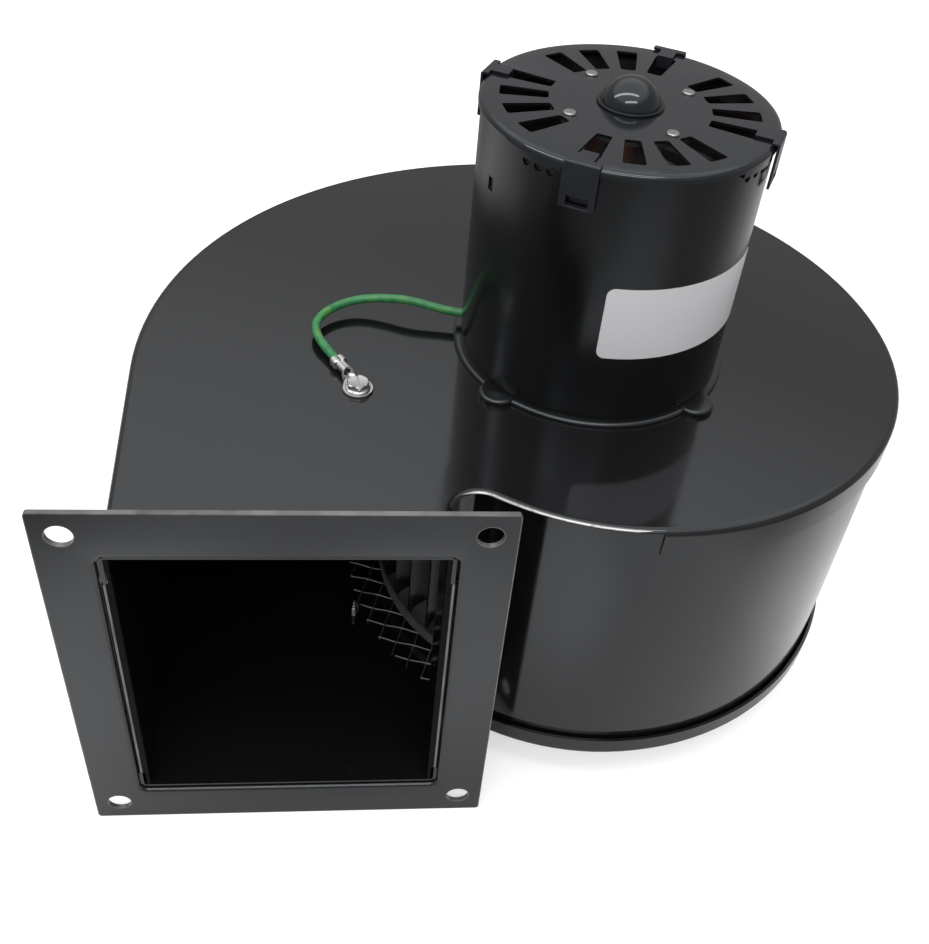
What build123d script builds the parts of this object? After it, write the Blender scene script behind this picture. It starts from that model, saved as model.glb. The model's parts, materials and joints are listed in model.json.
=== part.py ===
"""Centrifugal blower: sheet steel scroll housing, squirrel-cage wheel and a vented motor.

Millimetres, +Z up. The origin is the middle of the outlet flange's bolt pattern, on the
flange's front face. The air leaves towards -Y, and the motor shaft stands along Z.
"""
from build123d import *
import math
import os

# Outlet flange
FLANGE_WIDTH = 123.0
FLANGE_HEIGHT = 136.5
FLANGE_SHEET = 1.5
FLANGE_CORNER = 1.2
BOLT_SPACING_X = 107.95
BOLT_SPACING_Z = 120.65
BOLT_HOLE_RADIUS = 3.6
COLLAR_DEPTH = 6.0
COLLAR_CORNER = 2.6
COLLAR_LIP = 1.2

# Scroll housing
HOUSING_HEIGHT = 105.2
HOUSING_MID_Z = -0.9
HOUSING_SETBACK = 1.2
SHEET = 1.0
DUCT_WIDTH = 87.2
MOTOR_X = 95.3
MOTOR_Y = 98.3
SCROLL_FRONT = 86.4
SCROLL_RIGHT = 103.8
SCROLL_REAR = 122.8
SCROLL_LEFT = 143.7
SCROLL_SHIFT = 10.6
SCROLL_START_STEP = 12.5
NOSE_RADIUS = 8.9
TOP_RIM_GAP = 0.3
TOP_RIM_HEIGHT = 10.5
TOP_TAB_LENGTH = 8.0
TOP_RIM_START_X = 104.5
PAN_RIM_GAP = 0.9
PAN_RIM_HEIGHT = 7.5
COVER_BEND = 2.0
COLLAR_SIDE_CLEARANCE = 0.2
COLLAR_TOP_CLEARANCE = 0.6
HEM_CLEARANCE = 0.2
SHAFT_OPENING_RADIUS = 14.0
INLET_RADIUS = 57.0

# Inlet guard of welded wire
MESH_RADIUS = 76.8
MESH_PITCH = 6.35
MESH_WIRE = 0.7
MESH_ANGLE = -18.0

# Wheel
WHEEL_RADIUS = 66.0
WHEEL_BOTTOM_GAP = 4.0
WHEEL_TOP_GAP = 11.5
WHEEL_SHEET = 0.8
WHEEL_RIM_DEPTH = 5.0
BLADE_COUNT = 40
BLADE_DEPTH = 11.0
BLADE_SHEET = 0.6
BLADE_LEAN = 4.6
BLADE_BELLY = 1.6
HUB_RADIUS = 10.0
HUB_LENGTH = 20.0
HUB_SHOULDER = 3.0
SET_SCREW_RADIUS = 2.4
SET_SCREW_LENGTH = 7.0
SET_SCREW_SOCKET = 2.4
HEX_SIDES = 6

# Shaft, bearings and rotor
SHAFT_RADIUS = 3.97
SHAFT_TAIL = 2.0
FIT_CLEARANCE = 0.03
BEARING_RADIUS = 8.0
BEARING_LENGTH = 13.0
BEARING_WALL = 3.0
LOWER_BEARING_DROP = 5.0
WASHER_THICKNESS = 0.9
WASHER_RADIUS = 6.8
COLLAR_RADIUS = 6.2
AXIAL_PLAY = 0.3
AIR_GAP = 0.4
END_RING_HEIGHT = 3.0
END_RING_DEPTH = 5.0
FAN_FIN_COUNT = 8
FAN_FIN_HEIGHT = 4.0
FAN_FIN_THICKNESS = 1.6
FAN_FIN_INSET = 0.5

# Stator
STATOR_CLEARANCE = 0.05
STACK_HEIGHT = 32.0
STACK_RISE = 24.0
YOKE_DEPTH = 7.0
POLE_COUNT = 4
POLE_WIDTH = 15.0
POLE_SHOE_ANGLE = 66.0
POLE_SHOE_DEPTH = 3.0
COIL_WALL = 6.5
COIL_DEPTH = 4.5
COIL_GAP = 0.3
COIL_CORNER = 3.0
SHADING_BAR = 2.0
SHADING_ANGLE = 19.0

# Motor shell
MOTOR_HEIGHT = 82.6
CAN_RADIUS = 41.9
CAN_SHEET = 0.8
BASE_SHEET = 1.6
BASE_EDGE = 2.2
BASE_ROUNDING = 1.2
BASE_SPIGOT = 0.8
LUG_COUNT = 4
LUG_ANGLE = -138.5
LUG_REACH = 1.4
LUG_RADIUS = 6.0
LUG_RISE = 0.6
LUG_ROOF = 0.7
MOUNT_SCREW_RADIUS = 1.9
MOUNT_HEAD_FLATS = 7.0
MOUNT_HEAD_HEIGHT = 3.0
MOUNT_WASHER_RADIUS = 5.0
MOUNT_WASHER_THICKNESS = 1.0
BASE_VENT_INNER = 16.0
BASE_VENT_OUTER = 33.0
BASE_VENT_ANGLE = 56.0
CAP_SHEET = 0.8
CAP_SKIRT = 2.4
CAP_BEND = 1.6
CAP_TAB_DEPTH = 4.0
CAP_TAB_ANGLE = 20.0
CAP_TAB_TURN = -17.5
VENT_RADIUS = 1.3
VENT_DROP = 5.0
VENT_PITCH_ANGLE = 5.5
VENTS_PER_TAB = 3
SLOT_GROUPS = 4
SLOTS_PER_GROUP = 4
SLOT_START_ANGLE = 0.8
SLOT_PITCH_ANGLE = 18.9
SLOT_INNER = 23.1
SLOT_EDGE = 4.9
SLOT_INNER_WIDTH = 4.4
SLOT_OUTER_WIDTH = 6.4
SLOT_CORNER = 0.8
RIVET_COUNT = 4
RIVET_CIRCLE = 20.3
RIVET_ANGLE = 24.0
RIVET_RADIUS = 1.1
RIVET_HEAD_RADIUS = 1.9
RIVET_HEAD_HEIGHT = 0.7
RIVET_HEAD_ROUNDING = 0.5
DOME_RADIUS = 8.9
DOME_HEIGHT = 7.7
DOME_SHEET = 0.8
DOME_FOOT_RADIUS = 9.7
DOME_FOOT_HEIGHT = 0.8
DOME_FOOT_ROUNDING = 0.5
BRACKET_RADIUS = 23.0
BRACKET_SHEET = 1.2
CLIP_SHEET = 0.8
CLIP_BEND = 0.9
CLIP_WIDTH = 9.9
CLIP_HOOK_WIDTH = 4.8
CLIP_TURN = 0.6
CLIP_DROP = 12.6
CLIP_HOOK_DEPTH = 3.0
CLIP_WINDOW_WIDTH = 6.2
CLIP_WINDOW_HEIGHT = 2.8
CLIP_WINDOW_RISE = 0.7
CLIP_GAP = 0.1
PUNCH_ANGLE = -159.5
PUNCH_DROP = 18.5
PUNCH_WIDTH = 2.6
PUNCH_HEIGHT = 4.0

# Blank label on the motor
LABEL_START_ANGLE = -100.5
LABEL_END_ANGLE = -22.0
LABEL_BOTTOM_RISE = 24.6
LABEL_HEIGHT = 23.4
LABEL_THICKNESS = 0.15
LABEL_GLUE = 0.05
LABEL_CORNER = 2.5

# Ground lead with its bushing, ring terminal and screws
LEAD_RADIUS = 1.4
BUSHING_ANGLE = 169.0
BUSHING_NECK_RADIUS = 2.0
BUSHING_HEAD_RADIUS = 2.6
BUSHING_HEAD_HEIGHT = 1.3
TERMINAL_X = 20.1
TERMINAL_Y = 71.6
TERMINAL_SHEET = 0.8
TERMINAL_RING_RADIUS = 4.7
TERMINAL_NECK_WIDTH = 3.2
BARREL_START = 7.4
BARREL_END = 13.3
BARREL_RADIUS = 2.1
BARREL_RISE = 2.3
GROUND_SCREW_RADIUS = 1.9
GROUND_SCREW_LENGTH = 8.0
GROUND_HEAD_FLATS = 6.35
GROUND_HEAD_HEIGHT = 1.6
GROUND_WASHER_RADIUS = 3.9
GROUND_WASHER_THICKNESS = 0.7
GROUND_SLOT_WIDTH = 0.8
GROUND_SLOT_DEPTH = 0.9
GROUND_SCREW_TURN = -83.0
HOLE_CLEARANCE = 0.15

# The lead's route over the top cover: x, y and height over the cover
LEAD_ROUTE = [
    (37.5, 110.7, 6.7),
    (29.5, 113.1, 5.7),
    (20.2, 114.0, 4.5),
    (11.6, 109.8, 3.7),
    (6.4, 102.3, 3.4),
    (7.2, 94.5, 3.2),
]
LEAD_FIRST_RUN = 5.0
LEAD_LAST_RUN = 5.8
LEAD_BEND_SHARE = 0.45

# Levels worked out from the driving sizes
HOUSING_TOP = HOUSING_MID_Z + HOUSING_HEIGHT / 2
HOUSING_BOTTOM = HOUSING_MID_Z - HOUSING_HEIGHT / 2
CEILING = HOUSING_TOP - SHEET
FLOOR = HOUSING_BOTTOM + SHEET
WHEEL_TOP = CEILING - WHEEL_TOP_GAP
WHEEL_BOTTOM = FLOOR + WHEEL_BOTTOM_GAP
BASE_TOP = HOUSING_TOP + BASE_SHEET
CAP_TOP = HOUSING_TOP + MOTOR_HEIGHT
CAP_UNDER = CAP_TOP - CAP_SHEET
STACK_BOTTOM = HOUSING_TOP + STACK_RISE
STACK_TOP = STACK_BOTTOM + STACK_HEIGHT
LOWER_BEARING_BOTTOM = HOUSING_TOP - LOWER_BEARING_DROP
LOWER_BEARING_TOP = LOWER_BEARING_BOTTOM + BEARING_LENGTH
UPPER_BEARING_TOP = CAP_UNDER - BRACKET_SHEET
UPPER_BEARING_BOTTOM = UPPER_BEARING_TOP - BEARING_LENGTH
ROTOR_BOTTOM = STACK_BOTTOM - END_RING_HEIGHT
ROTOR_TOP = STACK_TOP + END_RING_HEIGHT
CAN_INNER = CAN_RADIUS - CAN_SHEET
BUSHING_LEVEL = BASE_TOP + BASE_SPIGOT + BUSHING_HEAD_RADIUS + HOLE_CLEARANCE
BUSHING_SEAT = math.sqrt(CAN_INNER**2 - BUSHING_HEAD_RADIUS**2) - FIT_CLEARANCE
STATOR_RADIUS = CAN_INNER - STATOR_CLEARANCE
YOKE_INNER = STATOR_RADIUS - YOKE_DEPTH
COIL_OUTER = math.sqrt(YOKE_INNER**2 - (POLE_WIDTH / 2 + COIL_WALL) ** 2) - COIL_GAP
COIL_INNER = COIL_OUTER - COIL_DEPTH
STATOR_BORE = COIL_INNER - COIL_GAP - POLE_SHOE_DEPTH
ROTOR_RADIUS = STATOR_BORE - AIR_GAP
BASE_RADIUS = CAN_RADIUS + BASE_EDGE
LUG_CIRCLE = CAN_RADIUS + LUG_REACH
SLOT_OUTER = CAN_RADIUS - SLOT_EDGE
CAP_SKIRT_INNER = CAN_RADIUS + CLIP_GAP
CAP_RADIUS = CAP_SKIRT_INNER + CAP_SHEET
TOP_GROW = TOP_RIM_GAP + SHEET
PAN_GROW = PAN_RIM_GAP + SHEET
OUTLET_HALF_WIDTH = DUCT_WIDTH / 2 + SHEET + PAN_GROW + COLLAR_SIDE_CLEARANCE
OUTLET_HALF_HEIGHT = HOUSING_HEIGHT / 2 + COLLAR_TOP_CLEARANCE


def polar(radius, angle):
    """Point at a radius and angle about the motor shaft, in plan."""
    turn = math.radians(angle)
    return Vector(MOTOR_X + radius * math.cos(turn), MOTOR_Y + radius * math.sin(turn))


def on_shaft(z):
    """Place on the shaft's axis at a height."""
    return Pos(MOTOR_X, MOTOR_Y, z)


def tube(outer, inner, bottom, top):
    """Tube about the shaft between two heights."""
    ring = Circle(outer) - Circle(inner)
    return on_shaft(bottom) * extrude(ring, amount=top - bottom)


def rod(radius, bottom, top):
    """Round bar about the shaft between two heights."""
    return on_shaft(bottom) * extrude(Circle(radius), amount=top - bottom)


def around(piece, count, start=0.0):
    """Copies of a piece drawn at angle zero, spread evenly about the shaft."""
    step = 360 / count
    centre = on_shaft(0)
    return [centre * Rot(0, 0, start + i * step) * piece for i in range(count)]


def sector(inner, outer, angle):
    """Plan of a part of a flat ring, with its middle at angle zero."""
    half = math.radians(angle / 2)

    def arc(radius, turns):
        return ThreePointArc(*[(radius * math.cos(turn), radius * math.sin(turn)) for turn in turns])

    outside = arc(outer, (-half, 0, half))
    inside = arc(inner, (half, 0, -half))
    return make_face([outside, Line(outside @ 1, inside @ 0), inside, Line(inside @ 1, outside @ 0)])


def scroll_circles():
    """Centres and radii of the four arcs that the scroll wall's outer face follows.

    Neighbouring centres lie in line with the point where their arcs meet, so the
    wall has no kink: front start, front to right, right to rear, and rear to left.
    """
    left = Vector(MOTOR_X - SCROLL_SHIFT, MOTOR_Y + SCROLL_REAR - SCROLL_LEFT + SCROLL_SHIFT)
    rear = Vector(MOTOR_X - SCROLL_SHIFT, MOTOR_Y + SCROLL_REAR - SCROLL_RIGHT - SCROLL_SHIFT)
    right_radius = rear.Y - MOTOR_Y + SCROLL_FRONT
    right = Vector(MOTOR_X + SCROLL_RIGHT - right_radius, rear.Y)
    start_radius = right_radius - SCROLL_START_STEP
    start = Vector(right.X, right.Y - SCROLL_START_STEP)
    return [
        (start, start_radius),
        (right, right_radius),
        (rear, SCROLL_RIGHT + SCROLL_SHIFT),
        (left, SCROLL_LEFT - SCROLL_SHIFT),
    ]


def scroll_face(grow, front):
    """Plan of the housing, grown evenly from the scroll wall's outer face."""
    circles = scroll_circles()
    duct = DUCT_WIDTH / 2 + SHEET
    start, start_radius = circles[0]
    left, left_radius = circles[3]

    nose_x = duct + NOSE_RADIUS
    reach = start_radius + NOSE_RADIUS
    nose = Vector(nose_x, start.Y - math.sqrt(reach**2 - (start.X - nose_x) ** 2))
    nose_radius = NOSE_RADIUS - grow
    to_start = (start - nose).normalized()
    nose_end = nose + to_start * nose_radius
    nose_turn = math.degrees(math.atan2(to_start.Y, to_start.X))
    middle_turn = math.radians((180 + nose_turn) / 2)
    nose_middle = nose + Vector(math.cos(middle_turn), math.sin(middle_turn)) * nose_radius
    nose_begin = Vector(nose.X - nose_radius, nose.Y)

    corner = Vector(-duct, 0)
    to_left = left - corner
    slope = math.atan2(to_left.Y, to_left.X) + math.asin(left_radius / to_left.length)
    along = Vector(math.cos(slope), math.sin(slope))
    left_end = left + Vector(-along.Y, along.X) * (left_radius + grow)
    left_foot = left_end - along * ((left_end.Y - front) / along.Y)
    left_turn = 90 + math.degrees(slope)

    edges = [Line((duct + grow, front), nose_begin)]
    edges.append(ThreePointArc(nose_begin, nose_middle, nose_end))
    turns = [nose_turn - 180, -90, 0, 90, left_turn]
    for (centre, radius), begin, end in zip(circles, turns, turns[1:]):
        arc = [math.radians(begin), math.radians((begin + end) / 2), math.radians(end)]
        points = [centre + Vector(math.cos(a), math.sin(a)) * (radius + grow) for a in arc]
        edges.append(ThreePointArc(*points))
    edges.append(Line(left_end, left_foot))
    edges.append(Line(left_foot, (duct + grow, front)))
    return make_face(edges)


def outlet_flange():
    """Flat flange with four bolt holes and a collar that holds the duct's end."""
    plate = Rectangle(FLANGE_WIDTH, FLANGE_HEIGHT)
    plate = fillet(plate.vertices(), FLANGE_CORNER)
    plate -= GridLocations(BOLT_SPACING_X, BOLT_SPACING_Z, 2, 2) * Circle(BOLT_HOLE_RADIUS)
    hole = Pos(0, HOUSING_MID_Z) * Rectangle(2 * OUTLET_HALF_WIDTH, 2 * OUTLET_HALF_HEIGHT)
    hole = fillet(hole.vertices(), COLLAR_CORNER)
    collar = offset(hole, FLANGE_SHEET) - hole
    facing = Plane(origin=(0, 0, 0), x_dir=(1, 0, 0), z_dir=(0, -1, 0))
    solid = facing * (extrude(plate - hole, amount=-FLANGE_SHEET) + extrude(collar, amount=-COLLAR_DEPTH))
    front = solid.faces().sort_by(Axis.Y)[0]
    return fillet(front.inner_wires().sort_by(SortBy.LENGTH)[-1].edges(), COLLAR_LIP)


def cover(grow, rim, plate_z, up):
    """Cover plate with a rim folded round the scroll wall: up is +1 or -1.

    The fold's inner radius is the gap to the wall, so the wall's edge meets the plate.
    """
    bottom = min(plate_z, plate_z + up * rim)
    body = extrude(Pos(0, 0, bottom) * scroll_face(grow, HOUSING_SETBACK), amount=rim)
    level = Axis.Z if up < 0 else -Axis.Z
    bend = body.faces().sort_by(level)[-1].edges()
    body = fillet(bend.filter_by(lambda e: e.center().Y > HOUSING_SETBACK + SHEET), COVER_BEND)
    hollow_bottom = bottom + (SHEET if up > 0 else 0)
    front = HOUSING_SETBACK - SHEET
    hollow = extrude(Pos(0, 0, hollow_bottom) * scroll_face(grow - SHEET, front), amount=rim - SHEET)
    inner = hollow.faces().sort_by(level)[-1].edges().filter_by(lambda e: e.center().Y > HOUSING_SETBACK)
    return body - fillet(inner, grow - SHEET)


def top_cover():
    """Top cover: the motor stands on it. Its rim stops short of the outlet's nose."""
    body = cover(TOP_GROW, TOP_RIM_HEIGHT, HOUSING_TOP, -1)
    tab_end = HOUSING_SETBACK + TOP_TAB_LENGTH
    notch_width = TOP_RIM_START_X - DUCT_WIDTH / 2
    notch_depth = MOTOR_Y / 2
    notch = Pos(TOP_RIM_START_X - notch_width / 2, tab_end + notch_depth / 2, CEILING - TOP_RIM_HEIGHT / 2)
    body -= notch * Box(notch_width, notch_depth, TOP_RIM_HEIGHT)
    body -= rod(SHAFT_OPENING_RADIUS, CEILING, HOUSING_TOP)
    for place in lug_places():
        body -= Pos(place.X, place.Y, CEILING) * extrude(
            Circle(MOUNT_SCREW_RADIUS + HOLE_CLEARANCE), amount=SHEET
        )
    screw_hole = Circle(GROUND_SCREW_RADIUS + HOLE_CLEARANCE)
    return body - Pos(TERMINAL_X, TERMINAL_Y, CEILING) * extrude(screw_hole, amount=SHEET)


def bottom_cover():
    """Bottom cover: a shallow pan with the round air inlet under the wheel."""
    body = cover(PAN_GROW, PAN_RIM_HEIGHT, HOUSING_BOTTOM, 1)
    body -= rod(INLET_RADIUS, HOUSING_BOTTOM, FLOOR)
    screw_hole = Circle(GROUND_SCREW_RADIUS + HOLE_CLEARANCE)
    return body - Pos(TERMINAL_X, TERMINAL_Y, HOUSING_BOTTOM) * extrude(screw_hole, amount=SHEET)


def scroll_wrap():
    """Side wall: one strip that runs round the scroll and doubles back at the nose.

    Both ends are folded out in a hem between the covers' rims, and fill the flange's collar.
    """
    outside = scroll_face(0, HOUSING_SETBACK)
    inside = scroll_face(-SHEET, HOUSING_SETBACK - SHEET)
    body = Pos(0, 0, FLOOR) * extrude(outside - inside, amount=CEILING - FLOOR)
    low = HOUSING_BOTTOM + PAN_RIM_HEIGHT + HEM_CLEARANCE
    high = HOUSING_TOP - TOP_RIM_HEIGHT - HEM_CLEARANCE
    width = OUTLET_HALF_WIDTH - COLLAR_SIDE_CLEARANCE - DUCT_WIDTH / 2
    hem = Box(width, SHEET, high - low)
    for side in (-1, 1):
        x = side * (DUCT_WIDTH + width) / 2
        body += Pos(x, HOUSING_SETBACK + SHEET / 2, (low + high) / 2) * hem
    return body


def inlet_mesh_guard():
    """Disc of welded wire cloth on the floor, with its wires cut off round the edge."""
    wires = []
    count = int(MESH_RADIUS / MESH_PITCH)
    for layer, turn in enumerate((MESH_ANGLE, MESH_ANGLE + 90)):
        level = FLOOR + layer * MESH_WIRE + MESH_WIRE / 2
        for i in range(-count, count + 1):
            aside = i * MESH_PITCH
            length = 2 * math.sqrt(MESH_RADIUS**2 - aside**2)
            wire = Box(length, MESH_WIRE, MESH_WIRE)
            wires.append(on_shaft(level) * Rot(0, 0, turn) * Pos(0, aside, 0) * wire)
    return wires


def lug_places():
    """Places of the motor's mounting lugs in plan."""
    return [polar(LUG_CIRCLE, LUG_ANGLE + i * 360 / LUG_COUNT) for i in range(LUG_COUNT)]


def motor_base():
    """Motor's lower end: ring and lugs on the cover, vented web and bearing boss."""
    body = rod(BASE_RADIUS, HOUSING_TOP, BASE_TOP)
    body = fillet(body.faces().sort_by(Axis.Z)[-1].edges(), BASE_ROUNDING)
    lug = extrude(Circle(LUG_RADIUS), amount=BASE_SHEET + LUG_RISE)
    lug = fillet(lug.faces().sort_by(Axis.Z)[-1].edges(), BASE_ROUNDING)
    for place in lug_places():
        body += Pos(place.X, place.Y, HOUSING_TOP) * lug
    body -= rod(CAN_RADIUS + CLIP_GAP, BASE_TOP, BASE_TOP + LUG_RISE)
    body += rod(CAN_INNER - FIT_CLEARANCE, HOUSING_TOP, BASE_TOP + BASE_SPIGOT)
    body -= rod(CAN_INNER - BASE_SHEET, BASE_TOP, BASE_TOP + BASE_SPIGOT)
    vent = extrude(sector(BASE_VENT_INNER, BASE_VENT_OUTER, BASE_VENT_ANGLE), amount=BASE_SHEET)
    for cut in around(Pos(0, 0, HOUSING_TOP) * vent, LUG_COUNT, LUG_ANGLE):
        body -= cut
    boss_radius = BEARING_RADIUS + BEARING_WALL
    body += rod(boss_radius, LOWER_BEARING_BOTTOM, LOWER_BEARING_TOP)
    body -= rod(BEARING_RADIUS + FIT_CLEARANCE, LOWER_BEARING_BOTTOM, LOWER_BEARING_TOP)
    for place in lug_places():
        hole = Circle(MOUNT_SCREW_RADIUS + FIT_CLEARANCE)
        body -= Pos(place.X, place.Y, HOUSING_TOP) * extrude(hole, amount=lug_hole_depth())
    return body


def lug_hole_depth():
    """Depth of the blind screw hole in a lug."""
    return BASE_SHEET + LUG_RISE - LUG_ROOF


def hex_screw(flats, head, washer_radius, washer, shank_radius, shank):
    """Hex washer-head screw that points down, with the washer's underside at zero."""
    body = extrude(Circle(washer_radius), amount=washer)
    corner_radius = flats / 2 / math.cos(math.pi / HEX_SIDES)
    body += Pos(0, 0, washer) * extrude(RegularPolygon(corner_radius, HEX_SIDES), amount=head)
    return body + Pos(0, 0, -shank) * extrude(Circle(shank_radius), amount=shank)


def motor_mount_screws():
    """Four screws from inside the housing, up through the cover into the lugs."""
    shank = SHEET + lug_hole_depth()
    screw = hex_screw(
        MOUNT_HEAD_FLATS,
        MOUNT_HEAD_HEIGHT,
        MOUNT_WASHER_RADIUS,
        MOUNT_WASHER_THICKNESS,
        MOUNT_SCREW_RADIUS,
        shank,
    )
    return [Pos(p.X, p.Y, CEILING) * Rot(180, 0, 0) * screw for p in lug_places()]


def radial_rod(radius, level, angle, begin, end):
    """Round bar that points away from the shaft, between two distances from it."""
    place = on_shaft(level) * Rot(0, 0, angle) * Rot(0, 90, 0)
    return place * Pos(0, 0, begin) * extrude(Circle(radius), amount=end - begin)


def motor_can():
    """Drawn can of the motor with a punched slot, vents and the hole for the lead's bushing."""
    body = tube(CAN_RADIUS, CAN_INNER, BASE_TOP, CAP_UNDER)
    punch = Pos(CAN_RADIUS, 0, CAP_TOP - PUNCH_DROP) * Box(4 * CAN_SHEET, PUNCH_WIDTH, PUNCH_HEIGHT)
    body -= on_shaft(0) * Rot(0, 0, PUNCH_ANGLE) * punch
    begin, end = CAN_INNER - CAN_SHEET, CAN_RADIUS + CAN_SHEET
    body -= radial_rod(BUSHING_NECK_RADIUS + FIT_CLEARANCE, BUSHING_LEVEL, BUSHING_ANGLE, begin, end)
    middle = (VENTS_PER_TAB - 1) / 2
    for angle in tab_angles():
        for i in range(VENTS_PER_TAB):
            turn = angle + (i - middle) * VENT_PITCH_ANGLE
            body -= radial_rod(VENT_RADIUS, CAP_TOP - VENT_DROP, turn, begin, end)
    return body


def slot_angles():
    """Angles of the vent slots, in groups with gaps between them."""
    middle = (SLOTS_PER_GROUP - 1) / 2
    return [
        SLOT_START_ANGLE + group * 360 / SLOT_GROUPS + (middle - i) * SLOT_PITCH_ANGLE
        for group in range(SLOT_GROUPS)
        for i in range(SLOTS_PER_GROUP)
    ]


def clip_angles():
    """Each clip hooks into the last slot of a group."""
    return [angle + CLIP_TURN for angle in slot_angles()[SLOTS_PER_GROUP - 1 :: SLOTS_PER_GROUP]]


def tab_angles():
    """Beside each clip the cap's skirt has a deeper tab."""
    return [angle + CAP_TAB_TURN for angle in clip_angles()]


def motor_vent_cap():
    """Vented top cap with a rolled edge over the can, slots, and holes for rivets."""
    body = rod(CAP_RADIUS, CAP_TOP - CAP_SKIRT, CAP_TOP)
    body = fillet(body.faces().sort_by(Axis.Z)[-1].edges(), CAP_BEND)
    body -= rod(CAP_SKIRT_INNER, CAP_TOP - CAP_SKIRT, CAP_UNDER)
    tab = extrude(sector(CAP_SKIRT_INNER, CAP_RADIUS, CAP_TAB_ANGLE), amount=CAP_TAB_DEPTH - CAP_BEND)
    for angle in tab_angles():
        body += on_shaft(CAP_TOP - CAP_TAB_DEPTH) * Rot(0, 0, angle) * tab
    inner = SLOT_INNER_WIDTH / 2
    outer = SLOT_OUTER_WIDTH / 2
    outline = Polyline(
        (SLOT_INNER, -inner), (SLOT_OUTER, -outer), (SLOT_OUTER, outer), (SLOT_INNER, inner), close=True
    )
    slot = fillet(make_face(outline).vertices(), SLOT_CORNER)
    cut = extrude(slot, amount=CAP_SHEET)
    for angle in slot_angles():
        body -= on_shaft(CAP_UNDER) * Rot(0, 0, angle) * cut
    for hole in rivet_holes(CAP_UNDER, CAP_SHEET):
        body -= hole
    return body - rod(DOME_RADIUS - DOME_SHEET, CAP_UNDER, CAP_TOP)


def rivet_holes(bottom, depth):
    """Holes for the rivets through a plate that starts at a height."""
    hole = extrude(Circle(RIVET_RADIUS + FIT_CLEARANCE), amount=depth)
    return around(Pos(RIVET_CIRCLE, 0, bottom) * hole, RIVET_COUNT, RIVET_ANGLE)


def cap_rivets():
    """Four rivets that hold the upper bearing's bracket under the cap."""
    grip = CAP_SHEET + BRACKET_SHEET
    shank = extrude(Circle(RIVET_RADIUS), amount=grip)
    tail = extrude(Circle(RIVET_HEAD_RADIUS), amount=RIVET_HEAD_HEIGHT)
    head = fillet(tail.faces().sort_by(Axis.Z)[-1].edges(), RIVET_HEAD_ROUNDING)
    rivet = shank + Pos(0, 0, grip) * head + Pos(0, 0, -RIVET_HEAD_HEIGHT) * tail
    return around(Pos(RIVET_CIRCLE, 0, CAP_TOP - grip) * rivet, RIVET_COUNT, RIVET_ANGLE)


def bent_strip(width, points):
    """Strip of sheet from its side outline in X and Z, centred on its width."""
    outline = make_face(Polyline(*points, close=True))
    return extrude(Plane.XZ.offset(-width / 2) * outline, amount=width)


def cap_clips():
    """Spring clips: each hooks into a vent slot, crosses the edge and grips the can."""
    inside = CAP_RADIUS + CLIP_GAP
    outside = inside + CLIP_SHEET
    over = CAP_TOP + CLIP_GAP
    top = over + CLIP_SHEET
    foot = over - CLIP_DROP
    shoulder = inside - CAP_BEND
    hook = SLOT_OUTER - CLIP_SHEET - HOLE_CLEARANCE
    hook_foot = over - CLIP_HOOK_DEPTH
    plate = bent_strip(
        CLIP_WIDTH,
        [(inside, foot), (outside, foot), (outside, top), (shoulder, top), (shoulder, over), (inside, over)],
    )
    corner = plate.edges().filter_by(Axis.Y).sort_by(lambda e: e.center().X + e.center().Z)[-1]
    plate = fillet(corner, CLIP_BEND)
    tongue = bent_strip(
        CLIP_HOOK_WIDTH,
        [
            (shoulder, top),
            (hook, top),
            (hook, hook_foot),
            (hook + CLIP_SHEET, hook_foot),
            (hook + CLIP_SHEET, over),
            (shoulder, over),
        ],
    )
    window = Box(2 * CLIP_SHEET, CLIP_WINDOW_WIDTH, CLIP_WINDOW_HEIGHT)
    window_middle = foot + CLIP_WINDOW_RISE + CLIP_WINDOW_HEIGHT / 2
    clip = plate + tongue - Pos(inside + CLIP_SHEET / 2, 0, window_middle) * window
    return [on_shaft(0) * Rot(0, 0, angle) * clip for angle in clip_angles()]


def bearing_dome():
    """Round dome with a rolled foot, fixed on the cap over the shaft's end."""
    foot = extrude(Circle(DOME_FOOT_RADIUS), amount=DOME_FOOT_HEIGHT)
    foot = fillet(foot.faces().sort_by(Axis.Z)[-1].edges(), DOME_FOOT_ROUNDING)
    shell = dome_body(DOME_RADIUS, DOME_HEIGHT) + foot
    shell -= dome_body(DOME_RADIUS - DOME_SHEET, DOME_HEIGHT - DOME_SHEET)
    return on_shaft(CAP_TOP) * shell


def dome_body(radius, height):
    """Top of a ball, of a given radius at its foot and a given height."""
    ball = (radius**2 + height**2) / (2 * height)
    below = Pos(0, 0, -ball) * Box(4 * ball, 4 * ball, 2 * ball)
    return Pos(0, 0, height - ball) * Sphere(ball) - below


def upper_bearing_bracket():
    """Plate and cup that hold the upper bearing under the cap."""
    body = rod(BRACKET_RADIUS, UPPER_BEARING_TOP, CAP_UNDER)
    body += rod(BEARING_RADIUS + BEARING_WALL, UPPER_BEARING_BOTTOM, UPPER_BEARING_TOP)
    body -= rod(BEARING_RADIUS + FIT_CLEARANCE, UPPER_BEARING_BOTTOM, CAP_UNDER)
    for hole in rivet_holes(UPPER_BEARING_TOP, BRACKET_SHEET):
        body -= hole
    return body


def bearing(bottom):
    """Sintered bronze sleeve."""
    return tube(BEARING_RADIUS, SHAFT_RADIUS + FIT_CLEARANCE, bottom, bottom + BEARING_LENGTH)


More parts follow.
